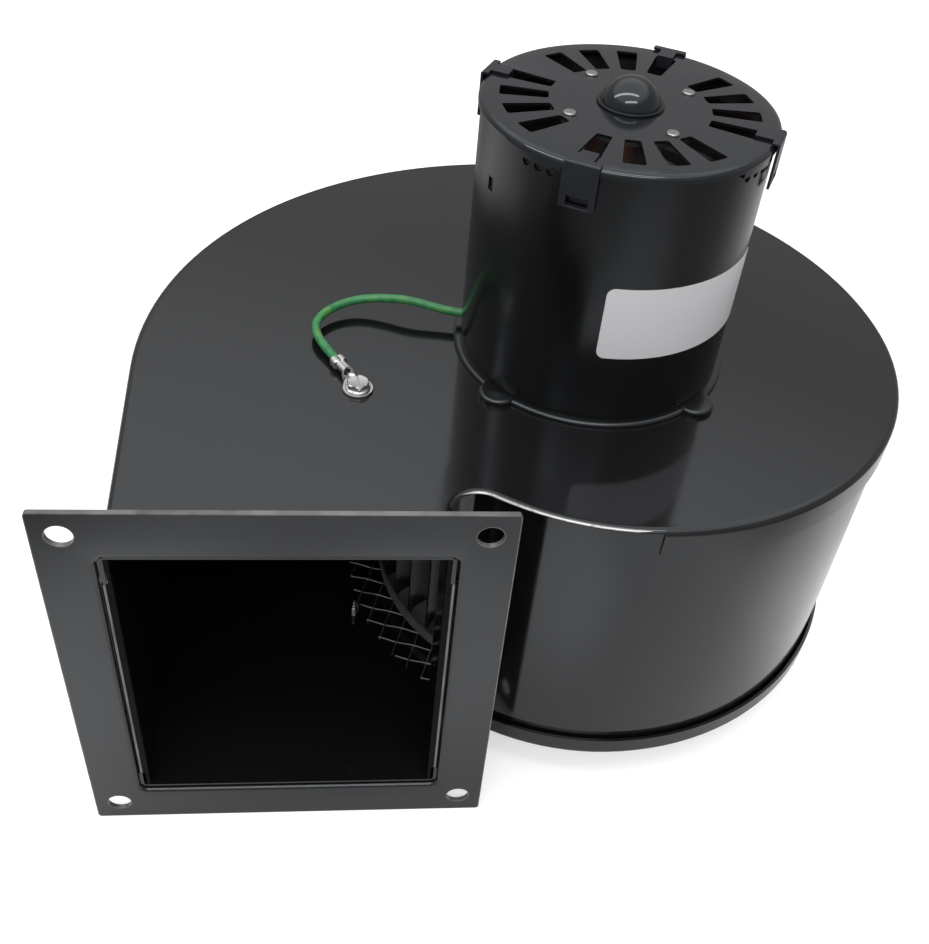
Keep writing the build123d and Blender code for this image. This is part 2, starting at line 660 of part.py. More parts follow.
def stator_core():
    """Stack of laminations: round yoke and four poles with wide shoes."""
    plan = Circle(STATOR_RADIUS) - Circle(YOKE_INNER)
    shoe = sector(STATOR_BORE, STATOR_BORE + POLE_SHOE_DEPTH, POLE_SHOE_ANGLE)
    reach = YOKE_INNER + YOKE_DEPTH / 2 - STATOR_BORE
    pole = Pos(STATOR_BORE + reach / 2, 0) * Rectangle(reach, POLE_WIDTH) - Circle(STATOR_BORE)
    for i in range(POLE_COUNT):
        plan += Rot(0, 0, pole_angle(i)) * (pole + shoe)
    body = on_shaft(STACK_BOTTOM) * extrude(plan, amount=STACK_HEIGHT)
    for i in range(POLE_COUNT):
        body -= on_shaft(STACK_BOTTOM) * Rot(0, 0, pole_angle(i)) * shading_hole()
    return body


def pole_angle(i):
    """Angle of a pole, between the motor's lugs."""
    return LUG_ANGLE + 180 / POLE_COUNT + i * 360 / POLE_COUNT


def shading_place():
    """Where a shading bar runs through a pole's shoe, in the pole's own plan."""
    radius = STATOR_BORE + POLE_SHOE_DEPTH / 2
    turn = math.radians(SHADING_ANGLE)
    return radius * math.cos(turn), radius * math.sin(turn)


def shading_hole():
    """Square hole through a shoe for the shading bar."""
    x, y = shading_place()
    side = SHADING_BAR + 2 * FIT_CLEARANCE
    return Pos(x, y) * extrude(Rot(0, 0, SHADING_ANGLE) * Rectangle(side, side), amount=STACK_HEIGHT)


def shading_rings():
    """Copper bars through the pole shoes, which start the motor turning."""
    x, y = shading_place()
    bar = Rot(0, 0, SHADING_ANGLE) * Rectangle(SHADING_BAR, SHADING_BAR)
    length = STACK_HEIGHT + SHADING_BAR
    bottom = STACK_BOTTOM - SHADING_BAR / 2
    solid = Pos(x, y) * extrude(bar, amount=length)
    return [on_shaft(bottom) * Rot(0, 0, pole_angle(i)) * solid for i in range(POLE_COUNT)]


def stator_coils():
    """One coil of enamelled wire round each pole."""
    hole = Rectangle(POLE_WIDTH + 2 * COIL_GAP, STACK_HEIGHT + 2 * COIL_GAP)
    outline = Rectangle(
        POLE_WIDTH + 2 * (COIL_GAP + COIL_WALL), STACK_HEIGHT + 2 * (COIL_GAP + COIL_WALL)
    )
    outline = fillet(outline.vertices(), COIL_CORNER)
    coil = Plane.YZ.offset(COIL_INNER) * extrude(outline - hole, amount=COIL_DEPTH)
    middle = (STACK_BOTTOM + STACK_TOP) / 2
    return [on_shaft(middle) * Rot(0, 0, pole_angle(i)) * coil for i in range(POLE_COUNT)]


def rotor_core():
    """Steel stack of the rotor."""
    return tube(ROTOR_RADIUS, SHAFT_RADIUS + FIT_CLEARANCE, STACK_BOTTOM, STACK_TOP)


def rotor_end_rings():
    """Cast rings on both ends of the rotor, the upper one with cooling fins."""
    inner = ROTOR_RADIUS - END_RING_DEPTH
    lower = tube(ROTOR_RADIUS, inner, ROTOR_BOTTOM, STACK_BOTTOM)
    upper = tube(ROTOR_RADIUS, inner, STACK_TOP, ROTOR_TOP)
    fin = Box(END_RING_DEPTH - 2 * FAN_FIN_INSET, FAN_FIN_THICKNESS, FAN_FIN_HEIGHT)
    place = Pos(inner + END_RING_DEPTH / 2, 0, ROTOR_TOP + FAN_FIN_HEIGHT / 2)
    for piece in around(place * fin, FAN_FIN_COUNT):
        upper += piece
    return [lower, upper]


def shaft_collars():
    """Spacers on the shaft between the rotor and the thrust washers."""
    bore = SHAFT_RADIUS + FIT_CLEARANCE
    low = LOWER_BEARING_TOP + AXIAL_PLAY + WASHER_THICKNESS
    high = UPPER_BEARING_BOTTOM - AXIAL_PLAY - WASHER_THICKNESS
    return [tube(COLLAR_RADIUS, bore, low, STACK_BOTTOM), tube(COLLAR_RADIUS, bore, STACK_TOP, high)]


def thrust_washers():
    """Fibre washers that take the rotor's weight on the bearings."""
    bore = SHAFT_RADIUS + FIT_CLEARANCE
    low = LOWER_BEARING_TOP + AXIAL_PLAY
    high = UPPER_BEARING_BOTTOM - AXIAL_PLAY
    return [
        tube(WASHER_RADIUS, bore, low, low + WASHER_THICKNESS),
        tube(WASHER_RADIUS, bore, high - WASHER_THICKNESS, high),
    ]


def motor_shaft():
    """Ground shaft from under the dome down to the wheel's hub."""
    return rod(SHAFT_RADIUS, WHEEL_TOP - HUB_LENGTH - SHAFT_TAIL, CAP_TOP - CAP_SHEET)


def wheel_hub():
    """Steel hub staked to the wheel's back plate, with a threaded hole for its screw."""
    bottom = WHEEL_TOP - HUB_LENGTH
    body = rod(HUB_RADIUS, bottom, WHEEL_TOP - WHEEL_SHEET)
    body += rod(HUB_RADIUS - HUB_SHOULDER, bottom, WHEEL_TOP + WHEEL_SHEET)
    body -= rod(SHAFT_RADIUS + FIT_CLEARANCE, bottom, WHEEL_TOP + WHEEL_SHEET)
    hole = Pos(0, 0, hub_screw_level()) * Rot(0, 90, 0)
    return body - on_shaft(0) * hole * extrude(Circle(SET_SCREW_RADIUS + FIT_CLEARANCE), amount=HUB_RADIUS)


def hub_screw_level():
    """Height of the set screw, midway along the hub."""
    return WHEEL_TOP - HUB_LENGTH / 2


def wheel_set_screw():
    """Socket set screw that clamps the hub on the shaft."""
    body = extrude(Circle(SET_SCREW_RADIUS), amount=SET_SCREW_LENGTH)
    socket = Pos(0, 0, SET_SCREW_LENGTH - SET_SCREW_SOCKET) * extrude(
        RegularPolygon(SET_SCREW_RADIUS / 2, HEX_SIDES), amount=SET_SCREW_SOCKET
    )
    return on_shaft(hub_screw_level()) * Rot(0, 90, 0) * Pos(0, 0, SHAFT_RADIUS) * (body - socket)


def wheel_back_plate():
    """Back plate at the motor end, with a rim folded over the blades' ends."""
    body = rod(WHEEL_RADIUS, WHEEL_TOP - WHEEL_RIM_DEPTH, WHEEL_TOP)
    body = fillet(body.faces().sort_by(Axis.Z)[-1].edges(), WHEEL_SHEET)
    body -= rod(WHEEL_RADIUS - WHEEL_SHEET, WHEEL_TOP - WHEEL_RIM_DEPTH, WHEEL_TOP - WHEEL_SHEET)
    return body - rod(HUB_RADIUS - HUB_SHOULDER + FIT_CLEARANCE, WHEEL_TOP - WHEEL_SHEET, WHEEL_TOP)


def wheel_end_ring():
    """Ring at the inlet end that ties the blades together."""
    inner = WHEEL_RADIUS - WHEEL_SHEET - BLADE_DEPTH
    body = tube(WHEEL_RADIUS, inner, WHEEL_BOTTOM, WHEEL_BOTTOM + WHEEL_RIM_DEPTH)
    edge = body.faces().sort_by(Axis.Z)[0].edges().sort_by(SortBy.RADIUS)[-1]
    body = fillet(edge, WHEEL_SHEET)
    return body - tube(
        WHEEL_RADIUS - WHEEL_SHEET, inner, WHEEL_BOTTOM + WHEEL_SHEET, WHEEL_BOTTOM + WHEEL_RIM_DEPTH
    )


def wheel_blades():
    """Forward-curved blades: their tips lean the way the wheel turns."""
    tip = WHEEL_RADIUS - WHEEL_SHEET - FIT_CLEARANCE
    root = WHEEL_RADIUS - WHEEL_SHEET - BLADE_DEPTH
    middle = (tip + root) / 2

    def point(radius, aside):
        return math.sqrt(radius**2 - aside**2), aside

    hollow_side = ThreePointArc(
        point(root, 0), point(middle, BLADE_LEAN / 2 - BLADE_BELLY), point(tip, BLADE_LEAN)
    )
    round_side = ThreePointArc(
        point(tip, BLADE_LEAN - BLADE_SHEET),
        point(middle, BLADE_LEAN / 2 - BLADE_BELLY - BLADE_SHEET),
        point(root, -BLADE_SHEET),
    )
    ends = [Line(hollow_side @ 1, round_side @ 0), Line(round_side @ 1, hollow_side @ 0)]
    bottom = WHEEL_BOTTOM + WHEEL_SHEET
    top = WHEEL_TOP - WHEEL_SHEET
    blade = Pos(0, 0, bottom) * extrude(make_face([hollow_side, round_side, *ends]), amount=top - bottom)
    return around(blade, BLADE_COUNT)


def rating_label():
    """Blank label wrapped round the can."""
    angle = LABEL_END_ANGLE - LABEL_START_ANGLE
    inside = CAN_RADIUS + LABEL_GLUE
    skin = sector(inside, inside + LABEL_THICKNESS, angle)
    body = extrude(skin, amount=LABEL_HEIGHT)
    corners = body.edges().filter_by(lambda e: e.length < 2 * LABEL_THICKNESS)
    body = fillet(corners, LABEL_CORNER)
    return on_shaft(HOUSING_TOP + LABEL_BOTTOM_RISE) * Rot(0, 0, LABEL_START_ANGLE + angle / 2) * body


def lead_bushing():
    """Bushing that fills the hole in the can's wall, with its head inside the can."""
    inside = BUSHING_SEAT - BUSHING_HEAD_HEIGHT
    head = radial_rod(BUSHING_HEAD_RADIUS, BUSHING_LEVEL, BUSHING_ANGLE, inside, BUSHING_SEAT)
    return head + radial_rod(BUSHING_NECK_RADIUS, BUSHING_LEVEL, BUSHING_ANGLE, BUSHING_SEAT, CAN_RADIUS)


def terminal_direction():
    """Unit vector in plan from the terminal's ring towards the lead."""
    x, y, _ = LEAD_ROUTE[-1]
    return Vector(x - TERMINAL_X, y - TERMINAL_Y).normalized()


def ring_terminal():
    """Crimped ring terminal under the ground screw."""
    hole = Circle(GROUND_SCREW_RADIUS + HOLE_CLEARANCE)
    neck = Pos(BARREL_START / 2, 0) * Rectangle(BARREL_START, TERMINAL_NECK_WIDTH)
    body = extrude(Circle(TERMINAL_RING_RADIUS) + neck - hole, amount=TERMINAL_SHEET)
    post_length = TERMINAL_SHEET
    post = Pos(BARREL_START + post_length / 2, 0, BARREL_RISE / 2) * Box(
        post_length, TERMINAL_NECK_WIDTH, BARREL_RISE
    )
    barrel = Pos(BARREL_START, 0, BARREL_RISE) * Rot(0, 90, 0) * extrude(
        Circle(BARREL_RADIUS), amount=BARREL_END - BARREL_START
    )
    way = terminal_direction()
    turn = math.degrees(math.atan2(way.Y, way.X))
    return Pos(TERMINAL_X, TERMINAL_Y, HOUSING_TOP) * Rot(0, 0, turn) * (body + post + barrel)


def slotted_screw():
    """Slotted hex washer-head screw for the housing's ground holes."""
    screw = hex_screw(
        GROUND_HEAD_FLATS,
        GROUND_HEAD_HEIGHT,
        GROUND_WASHER_RADIUS,
        GROUND_WASHER_THICKNESS,
        GROUND_SCREW_RADIUS,
        GROUND_SCREW_LENGTH,
    )
    head_top = GROUND_WASHER_THICKNESS + GROUND_HEAD_HEIGHT
    slot = Pos(0, 0, head_top - GROUND_SLOT_DEPTH / 2) * Box(
        2 * GROUND_HEAD_FLATS, GROUND_SLOT_WIDTH, GROUND_SLOT_DEPTH
    )
    screw = chamfer(screw.faces().sort_by(Axis.Z)[0].edges(), GROUND_SCREW_RADIUS / 2) - slot
    return Rot(0, 0, GROUND_SCREW_TURN) * screw


def ground_screw():
    """Screw that clamps the ring terminal to the top cover."""
    return Pos(TERMINAL_X, TERMINAL_Y, HOUSING_TOP + TERMINAL_SHEET) * slotted_screw()


def bottom_ground_screw():
    """The same screw in the bottom cover's own hole, whose tip shows in the outlet."""
    return Pos(TERMINAL_X, TERMINAL_Y, HOUSING_BOTTOM) * Rot(180, 0, 0) * slotted_screw()


def lead_points():
    """The lead's whole route: out of the bushing, over the cover, into the terminal."""
    way = terminal_direction()
    end = Vector(TERMINAL_X, TERMINAL_Y) + way * BARREL_END
    points = []
    for radius in (CAN_RADIUS, CAN_RADIUS + LEAD_FIRST_RUN):
        begin = polar(radius, BUSHING_ANGLE)
        points.append(Vector(begin.X, begin.Y, BUSHING_LEVEL))
    points += [Vector(x, y, HOUSING_TOP + rise) for x, y, rise in LEAD_ROUTE]
    last = end + way * LEAD_LAST_RUN
    points.append(Vector(last.X, last.Y, HOUSING_TOP + BARREL_RISE))
    points.append(Vector(end.X, end.Y, HOUSING_TOP + BARREL_RISE))
    return points


def lead_radii(points):
    """Largest arc at each corner that its two runs have room for."""
    radii = []
    for before, here, after in zip(points, points[1:], points[2:]):
        into, out = here - before, after - here
        turn = math.radians(into.get_angle(out))
        radii.append(LEAD_BEND_SHARE * min(into.length, out.length) / math.tan(turn / 2))
    return radii


def ground_lead():
    """Green ground lead as straight runs joined by arcs."""
    points = lead_points()
    radii = lead_radii(points)
    path = FilletPolyline(*points, radius=radii)
    section = Plane(path @ 0, z_dir=path % 0) * Circle(LEAD_RADIUS)
    solid = sweep(section, path)
    expected = math.pi * LEAD_RADIUS**2 * path.length
    print("ground_lead length", round(path.length, 1), "radii", [round(r, 1) for r in radii])
    print("ground_lead volume over section times length", round(solid.volume / expected, 4))
    return solid


def write(name, pieces):
    """Write one node: a single solid, or a group of separate solids."""
    if isinstance(pieces, list):
        pieces = Compound(children=[solid for piece in pieces for solid in piece.solids()])
    export_step(pieces, os.path.join("parts", name + ".step"))


NODES = {
    "outlet_flange": outlet_flange,
    "top_cover": top_cover,
    "bottom_cover": bottom_cover,
    "scroll_wrap": scroll_wrap,
    "inlet_mesh_guard": inlet_mesh_guard,
    "motor_base": motor_base,
    "motor_mount_screws": motor_mount_screws,
    "motor_can": motor_can,
    "motor_vent_cap": motor_vent_cap,
    "cap_rivets": cap_rivets,
    "cap_clips": cap_clips,
    "bearing_dome": bearing_dome,
    "upper_bearing_bracket": upper_bearing_bracket,
    "upper_bearing": lambda: bearing(UPPER_BEARING_BOTTOM),
    "lower_bearing": lambda: bearing(LOWER_BEARING_BOTTOM),
    "stator_core": stator_core,
    "shading_rings": shading_rings,
    "stator_coils": stator_coils,
    "rating_label": rating_label,
    "lead_bushing": lead_bushing,
    "ground_lead": ground_lead,
    "ring_terminal": ring_terminal,
    "ground_screw": ground_screw,
    "bottom_ground_screw": bottom_ground_screw,
    "motor_shaft": motor_shaft,
    "rotor_core": rotor_core,
    "rotor_end_rings": rotor_end_rings,
    "shaft_collars": shaft_collars,
    "thrust_washers": thrust_washers,
    "wheel_hub": wheel_hub,
    "wheel_set_screw": wheel_set_screw,
    "wheel_back_plate": wheel_back_plate,
    "wheel_end_ring": wheel_end_ring,
    "wheel_blades": wheel_blades,
}

os.makedirs("parts", exist_ok=True)
for name, make in NODES.items():
    write(name, make())
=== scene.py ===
"""Looks of the centrifugal blower: camera, light, ground lead, finishes and fine pieces.

Metres, in the CAD part's own frame: +Z up along the motor shaft, the outlet towards -Y.
"""
import json
import math

import bmesh
import bpy
from mathutils import Matrix, Vector

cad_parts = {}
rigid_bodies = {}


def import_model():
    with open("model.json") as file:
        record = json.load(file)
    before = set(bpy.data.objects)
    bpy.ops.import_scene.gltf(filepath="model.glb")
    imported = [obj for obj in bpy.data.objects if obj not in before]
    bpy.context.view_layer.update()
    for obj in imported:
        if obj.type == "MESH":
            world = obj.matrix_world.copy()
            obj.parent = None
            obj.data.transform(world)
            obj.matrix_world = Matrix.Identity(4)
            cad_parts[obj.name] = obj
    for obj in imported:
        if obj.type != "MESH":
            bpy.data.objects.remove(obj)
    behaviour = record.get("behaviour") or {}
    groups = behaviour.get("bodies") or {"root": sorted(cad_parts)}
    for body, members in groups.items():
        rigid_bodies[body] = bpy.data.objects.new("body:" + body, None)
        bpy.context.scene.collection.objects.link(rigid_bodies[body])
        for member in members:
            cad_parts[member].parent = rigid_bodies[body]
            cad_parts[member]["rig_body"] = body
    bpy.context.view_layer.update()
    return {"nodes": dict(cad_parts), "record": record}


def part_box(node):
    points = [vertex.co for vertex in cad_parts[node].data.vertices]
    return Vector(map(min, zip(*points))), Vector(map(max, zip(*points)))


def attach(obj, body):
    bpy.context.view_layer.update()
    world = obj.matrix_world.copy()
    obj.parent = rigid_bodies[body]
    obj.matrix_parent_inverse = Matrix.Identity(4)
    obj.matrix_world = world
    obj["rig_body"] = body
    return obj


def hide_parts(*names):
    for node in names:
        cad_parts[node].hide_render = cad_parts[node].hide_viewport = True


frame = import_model()

MM = 0.001
PER_MM = 1 / MM

# The photograph's camera
PHOTO_WIDTH = 929
PHOTO_HEIGHT = 944
FOCAL_PIXELS = 1138.8
CAMERA_PLACE = (0.01638, -0.20349, 0.26842)
CAMERA_PITCH = 42.043
CAMERA_YAW = 8.085
CAMERA_ROLL = -5.931

# Floor: it touches the flange's lower edge and the rear of the bottom cover
FLOOR_FRONT_Z = -0.0684
FLOOR_REAR_Y = 0.223
FLOOR_REAR_Z = -0.0536
FLOOR_HALF = 3.0

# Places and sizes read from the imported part
HOUSING_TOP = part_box("top_cover")[1].z
HOUSING_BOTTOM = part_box("bottom_cover")[0].z
HOUSING_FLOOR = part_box("scroll_wrap")[0].z
SHAFT = (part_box("motor_shaft")[0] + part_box("motor_shaft")[1]) / 2
CAN_RADIUS = (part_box("motor_can")[1].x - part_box("motor_can")[0].x) / 2
CAP_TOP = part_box("motor_vent_cap")[1].z

# Ground lead: its route starts where the bushing lets it out
LEAD_DIAMETER = 2.8 * MM
LEAD_ROUTE = [
    (0.05417, 0.10630, 0.05685),
    (0.04926, 0.10725, 0.05685),
    (0.0375, 0.1107, 0.0584),
    (0.0295, 0.1131, 0.0574),
    (0.0202, 0.1140, 0.0562),
    (0.0116, 0.1098, 0.0554),
    (0.0064, 0.1023, 0.0551),
    (0.0072, 0.0945, 0.0549),
    (0.01073, 0.08824, 0.0540),
    (0.01357, 0.08319, 0.0540),
]

# Terminal: the place of its screw, its sheet, and its ring with the ring's rounded edge
TERMINAL = Vector((0.0201, 0.0716, HOUSING_TOP))
TERMINAL_SHEET = 0.8 * MM
TERMINAL_RING = 4.7 * MM
TERMINAL_HOLE = 2.05 * MM
RING_ROUND_IN = 0.15 * MM
RING_ROUND_DOWN = 0.2 * MM

# Terminal's neck: half its width, where it stops widening, and where it starts to roll up
NECK_HALF_WIDTH = 1.9 * MM
NECK_FLARE_END = 4.8 * MM
ROLL_START = 5.0 * MM
ROLL_LENGTH = 2.4 * MM

# Terminal's barrel and the cuff behind it: their sizes, how far the barrel closes as a share of a
# circle and how much less the cuff does, how much the crimp thins the sheet, the seam's groove as
# shares of the radius and of half the width, and the bend in radians that stands for flat
BARREL_RISE = 2.3 * MM
BARREL_RADIUS = 1.4 * MM
BARREL_CLOSED = 0.985
BARREL_THINNED = 0.25
CUFF_START = 10.6 * MM
CUFF_STEP = 0.5 * MM
CUFF_RADIUS = 2.15 * MM
CUFF_OPENED = 0.025
SEAM_DEPTH = 0.26
SEAM_DEEPER_IN_CUFF = 0.10
SEAM_WIDTH = 0.17
LEAST_BEND = 0.02

# Terminal's sections: distances from the middle of the ring in millimetres
TERMINAL_SECTIONS = [
    3.6, 4.2, 4.8, 5.4, 6.0, 6.6, 7.2, 7.8, 8.6, 9.4,
    10.2, 10.6, 10.8, 11.0, 11.2, 11.5, 12.2, 13.0, 13.4,
]

# Slotted hex screw with a washer under its head
SCREW_SHANK = 1.9 * MM
SCREW_LENGTH = 8.0 * MM
SCREW_PITCH = 1.05 * MM
SCREW_WASHER = 3.9 * MM
SCREW_WASHER_THICKNESS = 0.7 * MM
SCREW_FLATS = 6.35 * MM
SCREW_HEAD = 1.6 * MM
SCREW_SLOT_WIDTH = 0.8 * MM
SCREW_SLOT_DEPTH = 0.9 * MM
SCREW_POINT = 4.0 * MM
SCREW_TIP = 0.10
SCREW_TURN = -83.0
SCREW_SIDES = 48

# Screw's thread: its depth, and how many rings of points each turn has
THREAD_DEPTH = 0.30 * MM
THREAD_RINGS = 8

# Screw's washer: how far its edge comes in below and above, and the heights where its side and
# its slope end, as shares of its thickness
WASHER_ROUND_IN = 0.15 * MM
WASHER_SLOPE_IN = 0.18 * MM
WASHER_SIDE_TOP = 0.55
WASHER_SLOPE_TOP = 0.85

# Screw's head: its foot's height, how far below its top the flats and the crown begin, the
# crown's widths as shares of the flats, and the dish in its top
HEAD_FOOT = 0.1 * MM
FLATS_DROP = 0.45 * MM
CROWN_DROP = 0.2 * MM
CROWN_FOOT = 1.092
CROWN_TOP = 0.9672
DISH_DEPTH = 0.12 * MM
DISH_SHARE = 0.8

# Wire guard
MESH_RADIUS = 76.8 * MM
MESH_PITCH = 6.35 * MM
MESH_WIRE = 0.5 * MM
MESH_CRIMP = 0.25 * MM
MESH_ANGLE = -18.0

# Top cover's fold: its radius, how far the smooth skin reaches out and in from it, the skin's
# steps outside and inside, and how close two points of the cover are to count as one
FOLD_RADIUS = 2.0 * MM
FOLD_SKIN = 0.04 * MM
FOLD_INSIDE = 0.5 * MM
FOLD_STEPS = 12
FOLD_INSIDE_STEP = 4
NEAR = 0.01 * MM

# Sleeve inside the motor can, a black sheet put as painted shade behind the vents, with its heights
# below the top of the cap
CAN_SHEET = 0.8 * MM
SLEEVE_SHEET = 0.3 * MM
SLEEVE_GAP = 0.15 * MM
SLEEVE_TOP = 3.2 * MM
SLEEVE_BOTTOM = 8.0 * MM

# Coils: the hole each is wound round, its wall and depth, its wire, and the turn of the poles
COIL_HOLE_WIDTH = 15.6 * MM
COIL_HOLE_HEIGHT = 32.6 * MM
COIL_WALL = 6.5 * MM
COIL_DEPTH = 4.5 * MM
COIL_CORNER = 0.5 * MM
COIL_WIRE = 0.75 * MM
POLE_ANGLE = -93.5
POLE_COUNT = 4

# Rounded edges: their widths, the angles from which an edge is rounded or shaded as sharp, the
# angle up to which faces count as flat, and how close points are joined
FLANGE_ROUND = 0.15 * MM
CAP_ROUND = 0.22 * MM
CLIP_ROUND = 0.18 * MM
FOOT_ROUND = 0.30 * MM
SCREW_ROUND = 0.06 * MM
ROUND_ANGLE = math.radians(40)
SCREW_ROUND_ANGLE = math.radians(50)
SHARP_ANGLE = math.radians(38)
FLAT_ANGLE = math.radians(0.5)
WELD = 1e-6

# Flange in millimetres: its bolt holes, how far the thin paint reaches in from the outline and
# from a hole, and how bare it is there; the bare lines are worn paint and also painted highlights on
# the edges
FLANGE_HOLE_X = 107.95 / 2
FLANGE_HOLE_Z = 120.65 / 2
FLANGE_HOLE_RADIUS = 3.6
EDGE_REACH = 0.30
HOLE_REACH = 0.21
FLANGE_WORN_AND_LIT = (0.12, 0.34)

# Top cover in millimetres: its bare cut edge beside the outlet, the lengths over which that
# starts and ends, how bare it is, and the end of its rim, whose end face is lightened as painted light
CUT_EDGE_X = (46.0, 104.5)
CUT_EDGE_Y = 40.0
CUT_EDGE_DEPTH = 0.85
CUT_EDGE_START = 6.0
CUT_EDGE_END = 8.0
CUT_EDGE_WORN = (0.50, 0.85)
CUT_EDGE_STEEP = 0.8
RIM_END_REACH = 0.3
RIM_END_FACING = -0.5
RIM_END_LIGHTENING = 0.3

# Side wall's hems inside the outlet, in millimetres: the line that catches light, how deep they
# reach, and how bare the line is
HEM_LINE = (45.4, 46.05)
HEM_REACH = 3.2
HEM_WORN = (0.25, 0.45)

# Dome's rolled foot: its heights above the cap in millimetres, and how dull it is
DOME_FOOT = (0.6, 1.4)
DOME_FOOT_DULL = 0.7

# Paint: its black, gloss, and a faint blue tint painted onto its reflections for the studio's cool
# light, and what dull, bare and dusty places have
BLACK_PAINT = (0.0045, 0.0045, 0.0048)
PAINT_GLOSS = 0.10
PAINT_SHINE = 0.5
PAINT_COOL_LIGHT_TINT = (0.92, 0.96, 1.0, 1.0)
DULL_ROUGHNESS = 0.35
DULL_SHINE = 0.03
# The bare tone and roughness also serve as painted light on the top cover's rim end and the flange's
# edges
BARE_AND_LIT_TONE = (0.42, 0.42, 0.41)
BARE_AND_LIT_ROUGHNESS = 0.25
DUST_TONE = (0.16, 0.16, 0.16)
DUST_AMOUNT = 0.35

# Stacked sheets of the stator and rotor in millimetres, and their rust
LAMINATION = 0.5
LAMINATION_GROOVE = 0.08
RUST_TONE = (0.16, 0.09, 0.05)

# Worn patches of the lead's insulation
WORN_GREEN = (0.075, 0.190, 0.030)

# Studio: heights at which its brightness changes, what it is there, what the overhead light adds,
# and how much more there is at the left
SKY_HORIZON = (0.35, 0.47)
SKY_HAZE = (0.52, 0.59)
SKY_OVERHEAD = (0.70, 0.95)
SKY_LEAN = 0.1

# Floor as reflections see it: dim, with painted pools of light that only reflections see. Each
# pool has its place in millimetres, inner and outer radius, and strength
FLOOR_DIM = 0.25
FLOOR_LIGHT_POOLS = [
    ((60, -20), 150, 240, 0.57),
    ((-85, -75), 20, 110, 0.40),
    ((200, -260), 60, 200, 0.28),
    ((420, 330), 60, 380, 0.45),
    ((-230, 230), 60, 250, 0.55),
    ((270, 110), 30, 130, 0.33),
    ((258, 45), 20, 95, 0.36),
    ((55, -78), 20, 75, 0.34),
]
FLOOR_FULL = 1.42

# Floor's shader: how much it scatters, how much it glows in reflections, and what the eye sees
FLOOR_DIFFUSE = 0.82
FLOOR_GLOW = 0.36
FLOOR_SEEN = 0.55

# Lamps: long thin tubes, each between two directions from the motor's dome
TUBES = {
    "tube_over": ((-0.87, 0.05, 0.50), (0.30, -0.43, 0.85)),
    "tube_front": ((-0.49, -0.64, 0.59), (0.21, -0.73, 0.65)),
}
TUBE_DISTANCE = 1.1
TUBE_WIDTH = 0.11
TUBE_RADIANCE = 9.0


# Objects and meshes

def add_object(name, data):
    """New object in the scene."""
    item = bpy.data.objects.new(name, data)
    bpy.context.scene.collection.objects.link(item)
    return item


def finished_mesh(name, bm):
    """Mesh from an edit mesh, which is freed."""
    mesh = bpy.data.meshes.new(name)
    bm.to_mesh(mesh)
    bm.free()
    return mesh


# Camera and light

def make_camera():
    """Camera at the photograph's place, turn and field of view."""
    pitch, yaw, roll = (math.radians(a) for a in (CAMERA_PITCH, CAMERA_YAW, CAMERA_ROLL))
    ahead = math.cos(pitch)
    forward = Vector((math.sin(yaw) * ahead, math.cos(yaw) * ahead, -math.sin(pitch)))
    level = forward.cross(Vector((0, 0, 1))).normalized()
    down = forward.cross(level)
    right = level * math.cos(roll) + down * math.sin(roll)
    lower = down * math.cos(roll) - level * math.sin(roll)
    data = bpy.data.cameras.new("photo_camera")
    data.lens = FOCAL_PIXELS * data.sensor_width / max(PHOTO_WIDTH, PHOTO_HEIGHT)
    data.clip_start = 0.01
    camera = add_object("photo_camera", data)
    turn = Matrix((right, -lower, -forward)).transposed()
    camera.matrix_world = Matrix.Translation(CAMERA_PLACE) @ turn.to_4x4()
    bpy.context.scene.camera = camera


def node_tree(owner):
    """Empty node tree of a material or world."""
    owner.use_nodes = True
    tree = owner.node_tree
    tree.nodes.clear()
    return tree


def add(tree, kind, inputs=None, **settings):
    """New node: settings are its properties, inputs its sockets by name or number."""
    node = tree.nodes.new(kind)
    for key, value in settings.items():
        setattr(node, key, value)
    for key, value in (inputs or {}).items():
        if isinstance(value, bpy.types.NodeSocket):
            tree.links.new(value, node.inputs[key])
        else:
            node.inputs[key].default_value = value
    return node


def maths(tree, operation, a, b=0.0):
    """Result of a maths node on two values or sockets."""
    return add(tree, "ShaderNodeMath", {0: a, 1: b}, operation=operation).outputs[0]


def product(tree, *factors):
    """Product of several values or sockets."""
    result = factors[0]
    for factor in factors[1:]:
        result = maths(tree, "MULTIPLY", result, factor)
    return result


def rescale(tree, value, low, high, to_low, to_high):
    """Value moved from one range to another."""
    node = add(tree, "ShaderNodeMapRange", {0: value, 1: low, 2: high, 3: to_low, 4: to_high})
    return node.outputs[0]


def mixed(tree, factor, first, second):
    """Colour between two colours."""
    node = add(tree, "ShaderNodeMix", {0: factor}, data_type="RGBA")
    for socket, value in ((node.inputs[6], first), (node.inputs[7], second)):
        if isinstance(value, bpy.types.NodeSocket):
            tree.links.new(value, socket)
        else:
            socket.default_value = (*value, 1.0)
    return node.outputs[2]


def noise(tree, coordinates, scale, detail=2.0, roughness=0.5):
    """Noise value over the coordinates."""
    sockets = {"Vector": coordinates, "Scale": scale, "Detail": detail, "Roughness": roughness}
    return add(tree, "ShaderNodeTexNoise", sockets).outputs[0]


def spread(tree, grain, low, high):
    """Noise between two levels: most of it lies from 0.3 to 0.7."""
    return rescale(tree, grain, 0.3, 0.7, low, high)


